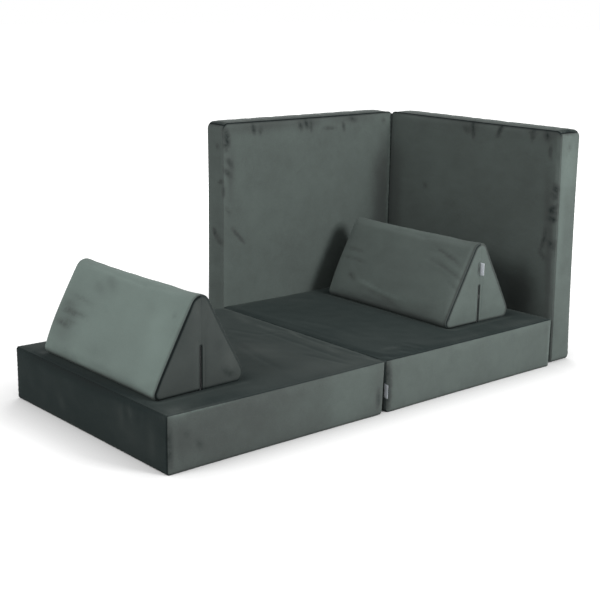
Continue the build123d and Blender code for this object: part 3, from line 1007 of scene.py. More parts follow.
def sew_bolster(points, outward, seam_gap, wrap_moved):
    """Sinks the seams and the zip, lets the cloth settle, and gives its painted shade."""
    points[: len(wrap_moved)] += wrap_moved[:, None] * outward[: len(wrap_moved)]
    # the end panels are sewn in just behind the edge of the wrap, in a valley
    on_end = np.abs(outward[:, 1]) > 0.75
    valley = np.exp(-(((seam_gap - END_SEAM_PLACE) / END_SEAM_WIDTH) ** 2))
    sink = 0.5 * np.exp(-((seam_gap / SEAM_WIDTH) ** 2)) + np.where(on_end, END_SEAM_DEPTH * valley, 0)
    beat = unevenness(points, 60, 31)
    ripple = np.sin(2 * math.pi * (points[:, 2] + 0.6 * points[:, 0]) / PUCKER_LENGTH + 5 * beat)
    pucker = 0.5 * PUCKER_DEPTH * ripple * (0.5 + 0.5 * beat)
    sink += pucker * np.exp(-(((seam_gap - 6) / PUCKER_REACH) ** 2))
    # the zip under the base
    under = (points[:, 2] < 1) & (seam_gap > 0.5) & (outward[:, 2] < -0.7)
    slot = slot_push(*points.T[:2], -SLOT_PAST_EDGE, BOLSTER_LENGTH + SLOT_PAST_EDGE)
    points -= np.where(under, slot, sink)[:, None] * outward
    x, y, height = points.T
    quiet = ease((seam_gap - 4) / 30) * ease((height - 5) / 20)
    wander = 0.9 * unevenness(points, 80, 32) + 0.6 * unevenness(points, 34, 33)
    eased = COVER_EASE * ease(height / 12)
    # the end panels stay put beside the zip
    beside = np.exp(-((x / 14) ** 4)) * (1 - ease((height - BOLSTER_ZIP_HEIGHT - 6) / 20))
    free = np.where(on_end, 1 - beside, 1)
    moved = points + (free * (quiet * wander + eased))[:, None] * outward
    # painted shade: the wrap's rim and foot, the zip's slot, the end seam's valley, and the line where
    # the bolster meets the seat
    rim = RIM_SHADE * np.exp(-((seam_gap / RIM_SHADE_REACH) ** 2)) * (y <= BOLSTER_LENGTH / 2)
    on_wrap = rim + FOOT_SHADE * np.exp(-((height / FOOT_SHADE_REACH) ** 2))
    slit = ZIP_SHADE * np.exp(-((x / ZIP_SHADE_HALF) ** 4)) * (height < BOLSTER_ZIP_HEIGHT)
    on_panel = slit + END_SEAM_SHADE * valley * np.where(x < 0, 1, 0.3)
    contact = CONTACT_SHADOW_LINE * np.exp(-((height / CONTACT_SHADOW_LINE_REACH) ** 2))
    return moved, np.where(on_end, on_panel, on_wrap) + contact


def make_bolster(name, lays, *looks):
    """lays are for the front end, the rear end, the right slope, the base and the left slope."""
    origin, axes = bolster_frame(name)
    for inset in (0, FOAM_INSET):
        step = BOLSTER_STEP if inset == 0 else BOLSTER_CORE_STEP
        grid, keys, normals, along = bolster_outline(step)
        outline = np.array([grid[key] for key in keys])
        stations = graded(0, BOLSTER_LENGTH, step, SEAM_FINE if inset == 0 else CORE_FINE)
        points, outward, seam_gap = make_wrap(stations, outline, normals, along)
        faces = ring_faces(len(stations), len(keys))
        # the wrap is one cloth, so its painted sheen and shade turn smoothly over the ridge, with the
        # way each part faces
        tones = lays[4] + (lays[2] - lays[4]) * (1 + normals[:, 0]) / 2
        tones = np.where(normals[:, 1] < -0.999999, lays[3], tones)
        face_lays = np.tile(tones, len(stations) - 1).tolist()
        places, depth, tilt, end_gap = make_end(grid, outline, normals, inset == 0)
        last = (len(stations) - 1) * len(keys)
        for end, end_y, first, lay in ((-1, 0, 0, lays[0]), (1, BOLSTER_LENGTH, last, lays[1])):
            index = np.zeros(grid.shape[:2], int)
            for n, key in enumerate(keys):
                index[key] = first + n
            index[0] = first
            index[1:-1, 1:-1] = len(points) + np.arange(len(places)).reshape(index[1:-1, 1:-1].shape)
            y = end_y - end * depth
            points = np.concatenate((points, np.stack((places[:, 0], y, places[:, 1]), axis=1)))
            outward = np.concatenate((outward, tilt * (1, end, 1)))
            seam_gap = np.concatenate((seam_gap, end_gap))
            for k, c in itertools.product(range(len(index) - 1), range(len(index[0]) - 1)):
                ring = [index[k, c], index[k, c + 1], index[k + 1, c + 1], index[k + 1, c]]
                ring = [int(v) for i, v in enumerate(ring) if v != ring[i - 1]]
                if len(ring) > 2:
                    faces.append(tuple(ring[::end]))
                    face_lays.append(lay)
        if inset == 0:
            moves = wrap_moves(stations, outline, normals)
            moves = calm(moves, seam_gap[: len(moves)])
            points, shade = sew_bolster(points, outward, seam_gap, moves)
        else:
            points = points - inset * outward
        # towards the rear the left foot is less pulled out
        back = points[:, 1] / BOLSTER_LENGTH * np.exp(-((points[:, 2] / 70) ** 2))
        points[:, 0] += FOOT_BACK * back * ease(-points[:, 0] / 90)
        # the right slope is pulled in towards the front end
        front = np.clip(1 - points[:, 1] / BOLSTER_LENGTH, 0, 1)
        points[:, 0] -= FRONT_IN * front * ease(points[:, 0] / 60)
        # the base settles on the crown of the seat
        world = settle_base(origin + points @ axes, origin[2])
        if inset == 0:
            finish_cover(name, world, outward @ axes, faces, face_lays, shade, looks)
        else:
            make_core(name, world, faces)


# Zips: coil zips sewn behind the slot, closed, with sliders that have no pull
TAPE_DEPTH = 2.3
TAPE_THICKNESS = 0.5
TAPE_STEP = 3
TAPE_NEAR = 0.55
TAPE_FAR = 11.55
COIL_DEPTH = 1.75
# two teeth, one from each side, to every 2 mm
TOOTH_PITCH = 1.0
TOOTH_INNER = -0.45
TOOTH_OUTER = 2.2
TOOTH_HALF = 0.42
SLIDER_DEPTH = 0.2
SLIDER_LENGTH = 9.5
STITCH_LENGTH = 3.0
STITCH_GAP = 1.2
STITCH_DEPTH = 0.35
# the end panels fill out, so their stitches lie further out than those under the base
END_STITCH_DEPTH = 0.4
END_STITCH_PUFF = 0.89
END_STITCH_RISE = 45
THREAD_HALF = 0.32


def straight_run(start, along, outward, length, spacing, to_ends=False):
    """Stations along a straight zip: places, directions along it, and directions out of the cloth."""
    count = max(1, round(length / spacing))
    steps = (np.arange(count) + 0.5) * length / count
    if to_ends:
        steps = np.linspace(0, length, count + 1)
    along = np.array(along, float)
    places = np.array(start, float) + steps[:, None] * along
    count = len(places)
    return places, np.tile(along, (count, 1)), np.tile(np.array(outward, float), (count, 1))


def wrapped_run(depth, spacing):
    """Stations of a bolster's zip, in the bolster's own axes.

    It runs down the front end, round under the base, and up the rear end.
    """
    radius = ZIP_BEND - depth
    rise = BOLSTER_ZIP_HEIGHT - ZIP_BEND
    quarter = radius * math.pi / 2
    lengths = (rise, quarter, BOLSTER_LENGTH - 2 * ZIP_BEND, quarter, rise)
    count = round(sum(lengths) / spacing)
    s = (np.arange(count) + 0.5) * sum(lengths) / count
    starts = np.cumsum((0, *lengths[:-1]))
    parts = [np.clip(s - start, 0, length) for start, length in zip(starts, lengths)]
    down, front, back, rear, up = parts
    front = front / radius
    rear = rear / radius
    turn = front + rear
    y = depth + radius * (1 - np.cos(front) + np.sin(rear)) + back
    z = BOLSTER_ZIP_HEIGHT - down + radius * (1 - np.sin(front) - np.cos(rear)) + up
    still = np.zeros(count)
    places = np.stack((still, y, z), axis=1)
    along = np.stack((still, np.sin(turn), -np.cos(turn)), axis=1)
    return places, along, np.stack((still, -np.cos(turn), -np.sin(turn)), axis=1)


def repeat_shape(template, faces, places, along, outward):
    """Sets a small shape at every station; its axes are side, along and outward."""
    side = np.cross(along, outward)
    points = (
        places[:, None]
        + template[None, :, :1] * side[:, None]
        + template[None, :, 1:2] * along[:, None]
        + template[None, :, 2:] * outward[:, None]
    )
    count = len(template)
    all_faces = [tuple(v + i * count for v in face) for i in range(len(places)) for face in faces]
    return points.reshape(-1, 3), all_faces


def bar_shape(start, finish, half_along, half_out):
    """A short bar with six rounded sides that lies across the run, from start to finish."""
    turns = np.arange(6) * math.pi / 3
    rings = ((start, 0.55), (start + 0.25, 1), (finish - 0.25, 1), (finish, 0.55))
    points = [
        (side, shrink * half_along * math.cos(turn), shrink * half_out * math.sin(turn))
        for side, shrink in rings
        for turn in turns
    ]
    faces = ring_faces(4, 6)
    faces.append(tuple(range(5, -1, -1)))
    faces.append(tuple(range(18, 24)))
    return np.array(points), faces


def strip_mesh(places, along, outward, near, far, thickness):
    """A flat closed strip beside the run, from near to far on its side."""
    side = np.cross(along, outward)
    rings = np.stack(
        [
            places + near * side,
            places + far * side,
            places + far * side - thickness * outward,
            places + near * side - thickness * outward,
        ],
        axis=1,
    )
    faces = [(a, d, c, b) for a, b, c, d in ring_faces(len(places), 4)]
    faces.append((0, 1, 2, 3))
    last = 4 * (len(places) - 1)
    faces.append((last + 3, last + 2, last + 1, last))
    return rings.reshape(-1, 3), faces


def join_meshes(meshes):
    points = []
    faces = []
    total = 0
    for part_points, part_faces in meshes:
        points.append(part_points)
        faces += [tuple(v + total for v in face) for face in part_faces]
        total += len(part_points)
    return np.concatenate(points), faces


def soft_bar(size, middle, radius, cells=2):
    """A small casting's bar: a box with rounded edges."""
    size = np.array(size, float)
    lines = [graded(0, s, max(s / cells, radius), (0, radius * 0.5, radius)) for s in size]
    flat, quads, panels = box_grid(lines)
    core = np.clip(flat, radius, size - radius)
    outward = flat - core
    outward = outward / np.maximum(np.linalg.norm(outward, axis=1), 1e-9)[:, None]
    return core + radius * outward - size / 2 + np.array(middle), quads


def slider_shape():
    """A zip slider: two shield-shaped plates joined by a post, side flanges and a lug on top."""
    parts = []
    for height in (-0.4, -2.9):
        points, faces = soft_bar((6.6, SLIDER_LENGTH, 0.8), (0, 0, height), 0.3, 8)
        # narrow at the tail and waisted at the mouths
        share = points[:, 1] / SLIDER_LENGTH + 0.5
        points[:, 0] *= 0.74 + 0.26 * ease(share * 1.6) - 0.05 * ease((share - 0.8) * 5)
        points[:, 2] += 0.35 * (0.5 - np.abs(points[:, 0] / 6.6)) * (1 if height > -1 else -1)
        parts.append((points, faces))
    for side in (-1, 1):
        parts.append(soft_bar((0.5, 6.0, 1.0), (2.65 * side, -1.2, -0.95), 0.2))
        parts.append(soft_bar((0.45, 2.2, 1.0), (2.85 * side, 2.9, -0.95), 0.2))
    parts.append(soft_bar((0.5, 2.6, 2.4), (0, 3.2, -1.65), 0.2))
    for end in (-1, 1):
        parts.append(soft_bar((1.6, 0.9, 1.1), (0, 2.4 * end - 0.3, 0.35), 0.3))
    parts.append(soft_bar((1.5, 5.6, 0.7), (0, -0.3, 1.0), 0.3))
    return join_meshes(parts)


def set_in_world(points, origin, axes):
    return np.array(origin) + points @ np.array(axes, float)


def make_zip(name, coil_run, tape_run, stitch_run, slider_place, slider_axes, settled):
    """Tape, coil, rows of stitches and slider; settled moves points to where the cloth lies."""
    places, along, outward = coil_run
    teeth = []
    for side in (-1, 1):
        own = slice(0, None, 2) if side < 0 else slice(1, None, 2)
        template, faces = bar_shape(TOOTH_INNER, TOOTH_OUTER, TOOTH_HALF, 0.45)
        template[:, 0] *= side
        if side < 0:
            faces = [tuple(reversed(face)) for face in faces]
        teeth.append(repeat_shape(template, faces, places[own], along[own], outward[own]))
    points, faces = join_meshes(teeth)
    add_piece(
        f"{name}_zip_teeth", settled(points), faces, coil_nylon, name, (f"{name}_zip_coil",)
    )
    places, along, outward = tape_run
    strips = [
        strip_mesh(places, along, outward, near, far, TAPE_THICKNESS)
        for near, far in ((TAPE_NEAR, TAPE_FAR), (-TAPE_FAR, -TAPE_NEAR))
    ]
    points, faces = join_meshes(strips)
    add_piece(
        f"{name}_zip_cloth", settled(points), faces, tape_cloth, name, (f"{name}_zip_tape",)
    )
    stitch, stitch_faces = bar_shape(-STITCH_LENGTH / 2, STITCH_LENGTH / 2, THREAD_HALF, THREAD_HALF)
    stitch = stitch[:, [1, 0, 2]]
    stitch_faces = [tuple(reversed(face)) for face in stitch_faces]
    places, along, outward = stitch_run
    rows = [places + row * np.cross(along, outward) for row in (-STITCH_ROW, STITCH_ROW)]
    rows = [repeat_shape(stitch, stitch_faces, row, along, outward) for row in rows]
    points, faces = join_meshes(rows)
    add_piece(f"{name}_zip_stitches", settled(points), faces, thread, name)
    points, faces = slider_shape()
    points[:, 2] -= SLIDER_DEPTH
    add_piece(
        f"{name}_slider_casting",
        set_in_world(points, slider_place, slider_axes),
        faces,
        slider_lacquer,
        f"{name}_slider",
        (f"{name}_zip_slider",),
    )


def straight_zip(name, start, along, outward, length):
    """A straight zip; the slider's mouths face the closed end."""
    start = np.array(start, float)
    out = np.array(outward, float)
    coil_run = straight_run(start - COIL_DEPTH * out, along, outward, length, TOOTH_PITCH)
    tape_run = straight_run(start - TAPE_DEPTH * out, along, outward, length, 20, True)
    stitches = straight_run(
        start - STITCH_DEPTH * out, along, outward, length, STITCH_LENGTH + STITCH_GAP
    )
    low, high = box_mm(f"{name}_zip_slider")
    at = (low + high) / 2
    place = at + np.dot(start - at, out) * out
    side = np.cross(along, outward)
    make_zip(name, coil_run, tape_run, stitches, place, (side, along, out), lambda points: points)


def bolster_zip(name, slider_at_front):
    origin, axes = bolster_frame(name)
    foot_z = origin[2]
    places, along, outward = wrapped_run(0, STITCH_LENGTH + STITCH_GAP)
    on_end = np.abs(outward[:, 1]) > 0.5
    depth = END_STITCH_DEPTH - END_STITCH_PUFF * ease(places[:, 2] / END_STITCH_RISE) * on_end
    runs = [
        wrapped_run(COIL_DEPTH, TOOTH_PITCH),
        wrapped_run(TAPE_DEPTH, TAPE_STEP),
        (places - depth[:, None] * outward, along, outward),
    ]
    coil_run, tape_run, stitch_run = [
        (set_in_world(places, origin, axes), along @ axes, outward @ axes)
        for places, along, outward in runs
    ]
    low, high = box_mm(f"{name}_zip_slider")
    height = (low[2] + high[2]) / 2 - foot_z
    end = (0, 0, height) if slider_at_front else (0, BOLSTER_LENGTH, height)
    out = -axes[1] if slider_at_front else axes[1]
    up_run = axes[2]
    make_zip(
        name,
        coil_run,
        tape_run,
        stitch_run,
        set_in_world(np.array(end), origin, axes),
        (np.cross(up_run, out), up_run, out),
        lambda points: settle_base(points, foot_z),
    )


# Sewn folds: the two covers are joined by one seam that rolls in along the fold
FOLD_STRIP_THICKNESS = 0.9
FOLD_STRIP_STEP = 3.0
FOLD_STRIP_PLACES = (0, 0.35, 0.7, 1.1, 1.6, 2.3, 3.2, 4.2, 5.4, 6.7, 8.0)


def make_fold(name, lay, dip, run, flip, heights, to_world):
    """A strip of velvet along a fold.

    run is where the strip starts and ends; heights gives its rise at each distance from the seam.
    """
    across = np.array([-x for x in FOLD_STRIP_PLACES[:0:-1]] + list(FOLD_STRIP_PLACES))
    stations = np.arange(run[0], run[1] + 0.1, FOLD_STRIP_STEP)
    points = []
    for s in stations:
        wave = 0.22 * math.sin(s / 3.1) + 0.18 * math.sin(s / 7.7 + 1)
        rise = heights(np.abs(across)) + wave * np.exp(-(((np.abs(across) - 2.2) / 1.6) ** 2))
        rise = rise - dip * max(0, 1 - min(s - stations[0], stations[-1] - s) / 4) ** 2
        top = to_world(across, s, rise)
        bottom = to_world(across, s, rise - FOLD_STRIP_THICKNESS)
        points.append(np.concatenate((top, bottom[::-1])))
    ring = 2 * len(across)
    faces = ring_faces(len(stations), ring)
    last = (len(stations) - 1) * ring
    for n in range(len(across) - 1):
        other = ring - 1 - n
        faces.append((n + 1, n, other, other - 1))
        faces.append((last + n, last + n + 1, last + other - 1, last + other))
    if flip:
        faces = [face[::-1] for face in faces]
    points = np.concatenate(points)
    strip = add_piece(f"{name}_velvet", points, faces, velvet, None, (f"{name}_seam",))
    still = np.zeros(len(points))
    write_lay(strip, np.full(len(faces), lay), still, still)
    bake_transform(strip)


def seat_fold():
    low, high = box_mm("seat_fold_seam")
    fold_x = (box_mm("seat_left_cover")[1][0] + box_mm("seat_right_cover")[0][0]) / 2

    def heights(across):
        rolled_in = 1.5 * np.exp(-((across / 3.0) ** 1.6)) + 0.9 * np.exp(-((across / 0.6) ** 2))
        return SEAT_HEIGHT + 0.05 - 0.35 * ease((across - 5) / 3) - rolled_in

    def to_world(across, s, rise):
        return np.stack((fold_x + across, np.full(len(across), s), rise), axis=1)

    run = (low[1] - 4, high[1] + 4)
    make_fold("seat_fold", 0.13, 1.6, run, True, heights, to_world)


def wall_fold():
    low, high = box_mm("wall_fold_seam")
    corner_x = box_mm("side_wall_cover")[0][0] + WALL_BULGE
    corner_y = box_mm("back_wall_cover")[0][1] + WALL_BULGE

    def heights(across):
        return 0.35 - 0.9 * ease((across - 5) / 3) - 0.7 * np.exp(-((across / 0.7) ** 2))

    def to_world(across, s, rise):
        # the strip turns the corner, from the back wall on one side to the side wall on the other
        round_it = 0.8 * np.exp(-((across / 1.6) ** 2))
        x = corner_x - round_it + np.where(across < 0, across, -rise)
        y = corner_y - round_it - np.where(across < 0, rise, across)
        return np.stack((x, y, np.full(len(across), s)), axis=1)

    run = (low[2] - 2, high[2] + 2)
    make_fold("wall_fold", 0.25, 0.6, run, False, heights, to_world)


# Blank labels: a piece of satin tape folded in half, its ends caught in a seam
LABEL_THICKNESS = 0.28
LABEL_GAP = 0.5
LABEL_ROWS = 14


def make_label_piece(name, node, body, root, lean, flare):
    """The folded tape stands out from root; lean is how far its tip bends to the side."""
    low, high = box_mm(node)
    height = high[2] - low[2]
    reach = high[1] - low[1]
    side = np.array((1.0, 0, 0))
    half = LABEL_GAP / 2
    turns = np.linspace(-math.pi / 2, math.pi / 2, 9)
    up = np.linspace(-0.04, 1, 14)
    path = [(-half - 0.35 * (1 - t) * math.sin(3 * t), t * (reach - half)) for t in up]
    path += [(half * math.sin(turn), reach - half + half * math.cos(turn)) for turn in turns[1:-1]]
    path += [(half + 0.25 * (1 - t) * math.sin(3 * t), t * (reach - half)) for t in up[::-1]]
    path = np.array(path)
    tangent = np.gradient(path, axis=0)
    tangent /= np.linalg.norm(tangent, axis=1)[:, None]
    normal = np.stack((-tangent[:, 1], tangent[:, 0]), axis=1)
    inset = normal * LABEL_THICKNESS / 2
    outline = np.concatenate((path + inset, (path - inset)[::-1]))
    count = len(outline)
    points = []
    for row in range(LABEL_ROWS + 1):
        share = row / LABEL_ROWS
        z = low[2] + share * height
        curl = flare * (share - 0.5) ** 2 * 4
        for x, y in outline:
            stand = y / reach
            lift = 1.2 * stand * (share - 0.5)
            points.append(
                np.array(root)
                + side * (x + (curl + lean) * stand)
                + np.array((0, -y, z - lift))
            )
    faces = ring_faces(LABEL_ROWS + 1, count)
    half_count = count // 2
    for n in range(half_count - 1):
        opposite = count - 1 - n
        faces.append((n, opposite, opposite - 1, n + 1))
        top = LABEL_ROWS * count
        faces.append((top + n + 1, top + opposite - 1, top + opposite, top + n))
    faces = [tuple(reversed(face)) for face in faces]
    label = add_piece(name, points, faces, label_cloth, body, (node,))


# How each piece was made up, handled and left. The lay of the pile on each panel goes from 0,
# leaning away from the light, to 1, towards it, and gives the panel its painted sheen and shade.
# Creases are pressed into the cloth; marks are brushed into its pile, and some marks are painted
# shade, shadow or highlight: each has a breadth, a depth or strength, and points in millimetres.

# panels that creases and marks lie on: the axis across each, and its place on that axis
SEAT_TOP = (2, 155)
SEAT_FRONT = (1, -411)
SEAT_FREE_SIDE = (0, -782)
BACK_WALL_FACE = (1, 342)
BACK_WALL_EDGE = (0, -43)
SIDE_WALL_FACE = (0, 696)
SIDE_WALL_EDGE = (1, -398)
LEFT_END = (1, -303)
RIGHT_END = (1, -295)


def in_space(*rows):
    return [(points, breadth, strength) for breadth, strength, *points in rows]


def on_panel(panel, *rows):
    """Creases or marks on one flat panel; their points leave out the axis across it."""
    axis, place = panel
    return [
        ([(*point[:axis], place, *point[axis:]) for point in points], breadth, strength)
        for points, breadth, strength in in_space(*rows)
    ]


creases = on_panel(
    SEAT_TOP,
    (9, 1.3, (-137, 60), (-136, -149), (-135, -385)),
    (6, 1.0, (-85, 60), (-80, -60), (-84, -200), (-85, -330)),
    (11, 1.1, (-272, -18), (-313, -175), (-340, -316)),
    (9, 0.7, (-210, 110), (-170, -5), (-75, -35)),
    (8, 1.0, (-201, -225), (-154, -390)),
    (12, 0.7, (-255, 210), (-240, 60), (-200, -80)),
) + on_panel(
    SEAT_FRONT,
    (4, 1.2, (-75, 90), (-72, 55), (-76, 25)),
    (7, 1.0, (-750, 140), (-752, 60), (-748, 15)),
) + on_panel(SEAT_FREE_SIDE, (9, 0.7, (-205, 150), (-212, 80)), (9, 0.6, (-300, 145), (-296, 90)))
marks = on_panel(
    SEAT_TOP,
    (16, -0.12, (-73, 240), (-116, 109)),
    (10, -0.16, (-104, 100), (-106, 2)),
    (7, -0.22, (-68, -14), (-91, -105)),
    (8, -0.13, (-89, -93), (-97, -192), (-99, -292)),
    (8, -0.12, (-99, -292), (-63, -405)),
    (6, -0.24, (-79, -193), (-70, -252)),
    (6, -0.2, (-110, -233), (-106, -274)),
    # painted shade in the valleys of the creases, in the next three
    (8, 0.07, (-137, 25), (-136, -149), (-135, -360)),
    (10, 0.07, (-272, -18), (-313, -175), (-340, -316)),
    (7, 0.06, (-201, -225), (-154, -380)),
    (45, -0.06, (-292, -67), (-245, -275)),
    (70, -0.1, (-317, -98), (-203, -161)),
    (40, -0.06, (-336, -319), (-80, -400)),
    # painted shade at the foot of the back wall
    (60, 0.09, (-300, 325), (-60, 290)),
    # painted shade along the fold
    (5, 0.1, (-42, 40), (-46, -244), (-50, -405)),
    (20, -0.16, (-775, -395), (-720, -392)),
    (22, 0.08, (-690, -385), (-600, -380), (-520, -385)),
    (24, 0.12, (-770, 330), (-770, -250)),
) + on_panel(
    SEAT_FRONT,
    # painted light: the front is lighter towards the fold
    (110, -0.09, (-300, 70), (-60, 70)),
    (34, 0.05, (-775, 100), (-700, 60)),
    (7, 0.3, (-730, 105), (-726, 92)),
    (8, 0.28, (-695, 72), (-684, 55)),
    (6, 0.25, (-776, 120), (-776, 20)),
    # painted shade in the crease near the fold
    (7, 0.3, (-75, 78), (-74, 28)),
) + on_panel(
    SEAT_FREE_SIDE,
    (40, -0.05, (-199, 58), (-379, 46)),
    (14, -0.1, (-200, 130), (-215, 75)),
    (10, -0.1, (-245, 140), (-262, 100)),
    (16, -0.08, (-345, 110), (-350, 30)),
    (14, -0.08, (100, 70), (70, 35)),
# painted highlight along the front top edge, next
) + in_space((5, -0.12, (-778, -409, 152), (-560, -409, 152)))
# fold side, free side, front, rear, foot, top
lays = (0.3, 0.035, 0.525, 0.4, 0.4, 0.125)
make_seat("seat_left", True, 5, 3, lays, creases, marks)

creases = on_panel(
    SEAT_TOP,
    (9, 1.3, (-34, -300), (-25, -370), (5, -405)),
    (9, 1.1, (45, -360), (70, -400), (135, -404)),
    (10, 0.9, (105, -320), (128, -395)),
    (9, 0.9, (-30, 200), (-22, -60), (-20, -250)),
    (14, 0.7, (20, 100), (60, -80), (50, -240)),
    (12, 0.6, (180, -350), (300, -385), (420, -380)),
) + on_panel(SEAT_FRONT, (6, 0.8, (-33, 140), (-28, 20)))
marks = on_panel(
    SEAT_TOP,
    (12, 0.05, (-36, -315), (-42, -395)),
    (12, -0.12, (5, -335), (79, -341)),
    (10, 0.04, (7, -29), (-5, -198)),
    (22, -0.14, (680, -150), (683, -385)),
    (18, -0.07, (210, -390), (400, -392)),
    (16, -0.08, (560, -390), (680, -396)),
    (90, 0.06, (-30, 330), (106, 134), (217, -161)),
    (18, 0.06, (46, -354), (187, -398)),
    (22, -0.1, (450, -385), (640, -388)),
# first on the front: painted shade in the crease beside the fold gap
) + on_panel(SEAT_FRONT, (9, 0.3, (-36, 145), (-33, 15)), (6, -0.12, (676, 145), (678, 10)))
lays = (0.2, 0.5, 0.595, 0.4, 0.4, 0.035)
make_seat("seat_right", False, 15, 0, lays, creases, marks)

creases = on_panel(
    BACK_WALL_FACE,
    (7, 0.8, (-5, 412), (20, 385), (45, 350)),
    (8, 0.8, (75, 738), (82, 700)),
    (8, 0.8, (298, 738), (303, 700)),
    (26, 1.0, (640, 620), (665, 420), (650, 200)),
    (10, 0.8, (-36, 700), (-28, 640), (-32, 580)),
)
marks = on_panel(
    BACK_WALL_FACE,
    (6, 0.44, (76, 735), (81, 706)),
    (6, 0.2, (109, 724), (105, 701)),
    (7, 0.34, (273, 727), (278, 707)),
    (6, 0.38, (299, 735), (304, 712)),
    (4, 0.3, (321, 731), (322, 698)),
    (6, 0.1, (379, 704), (434, 701)),
    (6, 0.24, (465, 716), (471, 692)),
    (8, 0.2, (497, 731), (525, 723)),
    (8, 0.16, (654, 719), (659, 708)),
    (20, 0.11, (-23, 724), (90, 728), (273, 728)),
    (18, 0.12, (273, 728), (345, 730)),
    (16, 0.07, (361, 735), (615, 736)),
    (14, 0.07, (-8, 658), (-15, 500)),
    (9, 0.42, (-33, 722), (-27, 691), (-30, 663)),
    (7, 0.22, (-27, 631), (-8, 608)),
    (7, 0.24, (-37, 598), (-15, 577)),
    (6, 0.25, (-40, 547), (-40, 512)),
    (7, 0.08, (-31, 476), (-15, 455)),
    # painted shade in the crease
    (6, 0.18, (-7, 408), (9, 390), (42, 354)),
    # painted shade in the corner beside the side wall
    (45, 0.14, (655, 660), (655, 160)),
    # painted highlight on the rolled edge beside the corner
    (9, -0.12, (693, 720), (693, 300)),
) + on_panel(
    BACK_WALL_EDGE,
    (9, 0.3, (391, 402), (375, 385)),
    (9, 0.12, (369, 376), (348, 357)),
    (6, 0.12, (369, 677), (369, 661)),
    (6, 0.2, (364, 557), (342, 561)),
) + in_space((9, 0.3, (-38, 350, 741), (-38, 420, 741)))
# fold edge, far edge, inner face, outer face, foot, top
lays = (0.4, 0.59, 0.6, 0.55, 0.4, 0.36)
wall_low, wall_high = box_mm("back_wall_cover")
fold_corner = (wall_high[0], wall_low[1] + WALL_BULGE, 0)
axes = ((-1, 0, 0), (0, 1, 0), (0, 0, 1))
make_wall("back_wall", 741.0, fold_corner, axes, (0, 0, 0, 0), lays, creases, marks)

creases = on_panel(
    SIDE_WALL_FACE,
    (8, 0.8, (-45, 738), (-46, 690)),
    (8, 0.8, (-170, 738), (-152, 705)),
    (12, 0.9, (-385, 560), (-372, 430), (-386, 330)),
    (26, 1.0, (300, 600), (310, 380), (290, 200)),
) + on_panel(SIDE_WALL_EDGE, (9, 0.6, (735, 690), (742, 600)))
marks = on_panel(
    SIDE_WALL_FACE,
    (6, 0.42, (-34, 741), (-42, 692)),
    (10, 0.14, (3, 717), (-28, 713)),
    (7, 0.36, (-161, 743), (-143, 705)),
    (9, 0.22, (-268, 735), (-299, 735)),
    (8, 0.26, (-288, 728), (-286, 706)),
    (8, 0.08, (174, 512), (159, 500)),
    # painted shade in the corner beside the back wall
    (40, 0.12, (330, 700), (330, 420), (330, 180)),
    # painted shadow of the right bolster
    (45, 0.14, (-268, 253), (-243, 147)),
    (22, 0.1, (-330, 735), (-385, 735)),
    (26, 0.06, (-10, 735), (-70, 728)),
) + on_panel(
    SIDE_WALL_EDGE,
    (8, 0.16, (730, 702), (731, 684)),
    (40, -0.08, (740, 720), (735, 560)),
    (14, -0.05, (716, 640), (712, 200)),
) + in_space(
    (9, 0.34, (694, -338, 733), (694, -347, 716)),
    (6, 0.2, (694, -361, 695), (694, -358, 677), (694, -360, 658)),
    (9, 0.34, (698, -382, 574), (698, -390, 554)),
    (8, 0.3, (698, -375, 545), (698, -390, 535)),
    (8, 0.38, (699, -389, 512), (699, -370, 494), (699, -389, 488)),
    (8, 0.4, (700, -364, 470), (700, -390, 466)),
    (6, 0.26, (701, -355, 434), (701, -350, 398), (701, -340, 367)),
    (9, 0.26, (702, -366, 397), (702, -383, 381), (702, -390, 394)),
    (8, 0.12, (702, -333, 357), (702, -359, 335)),
    (12, 0.36, (702, -386, 741), (776, -386, 741)),
    (16, 0.09, (696, -351, 620), (700, -372, 370), (701, -381, 110)),
)
lays = (0.4, 0.615, 0.565, 0.55, 0.4, 0.4)
wall_low, wall_high = box_mm("side_wall_cover")
fold_corner = (wall_low[0] + WALL_BULGE, wall_high[1], 0)
axes = ((0, -1, 0), (1, 0, 0), (0, 0, 1))
make_wall("side_wall", 743.0, fold_corner, axes, (-4, 17, 3, 24), lays, creases, marks)

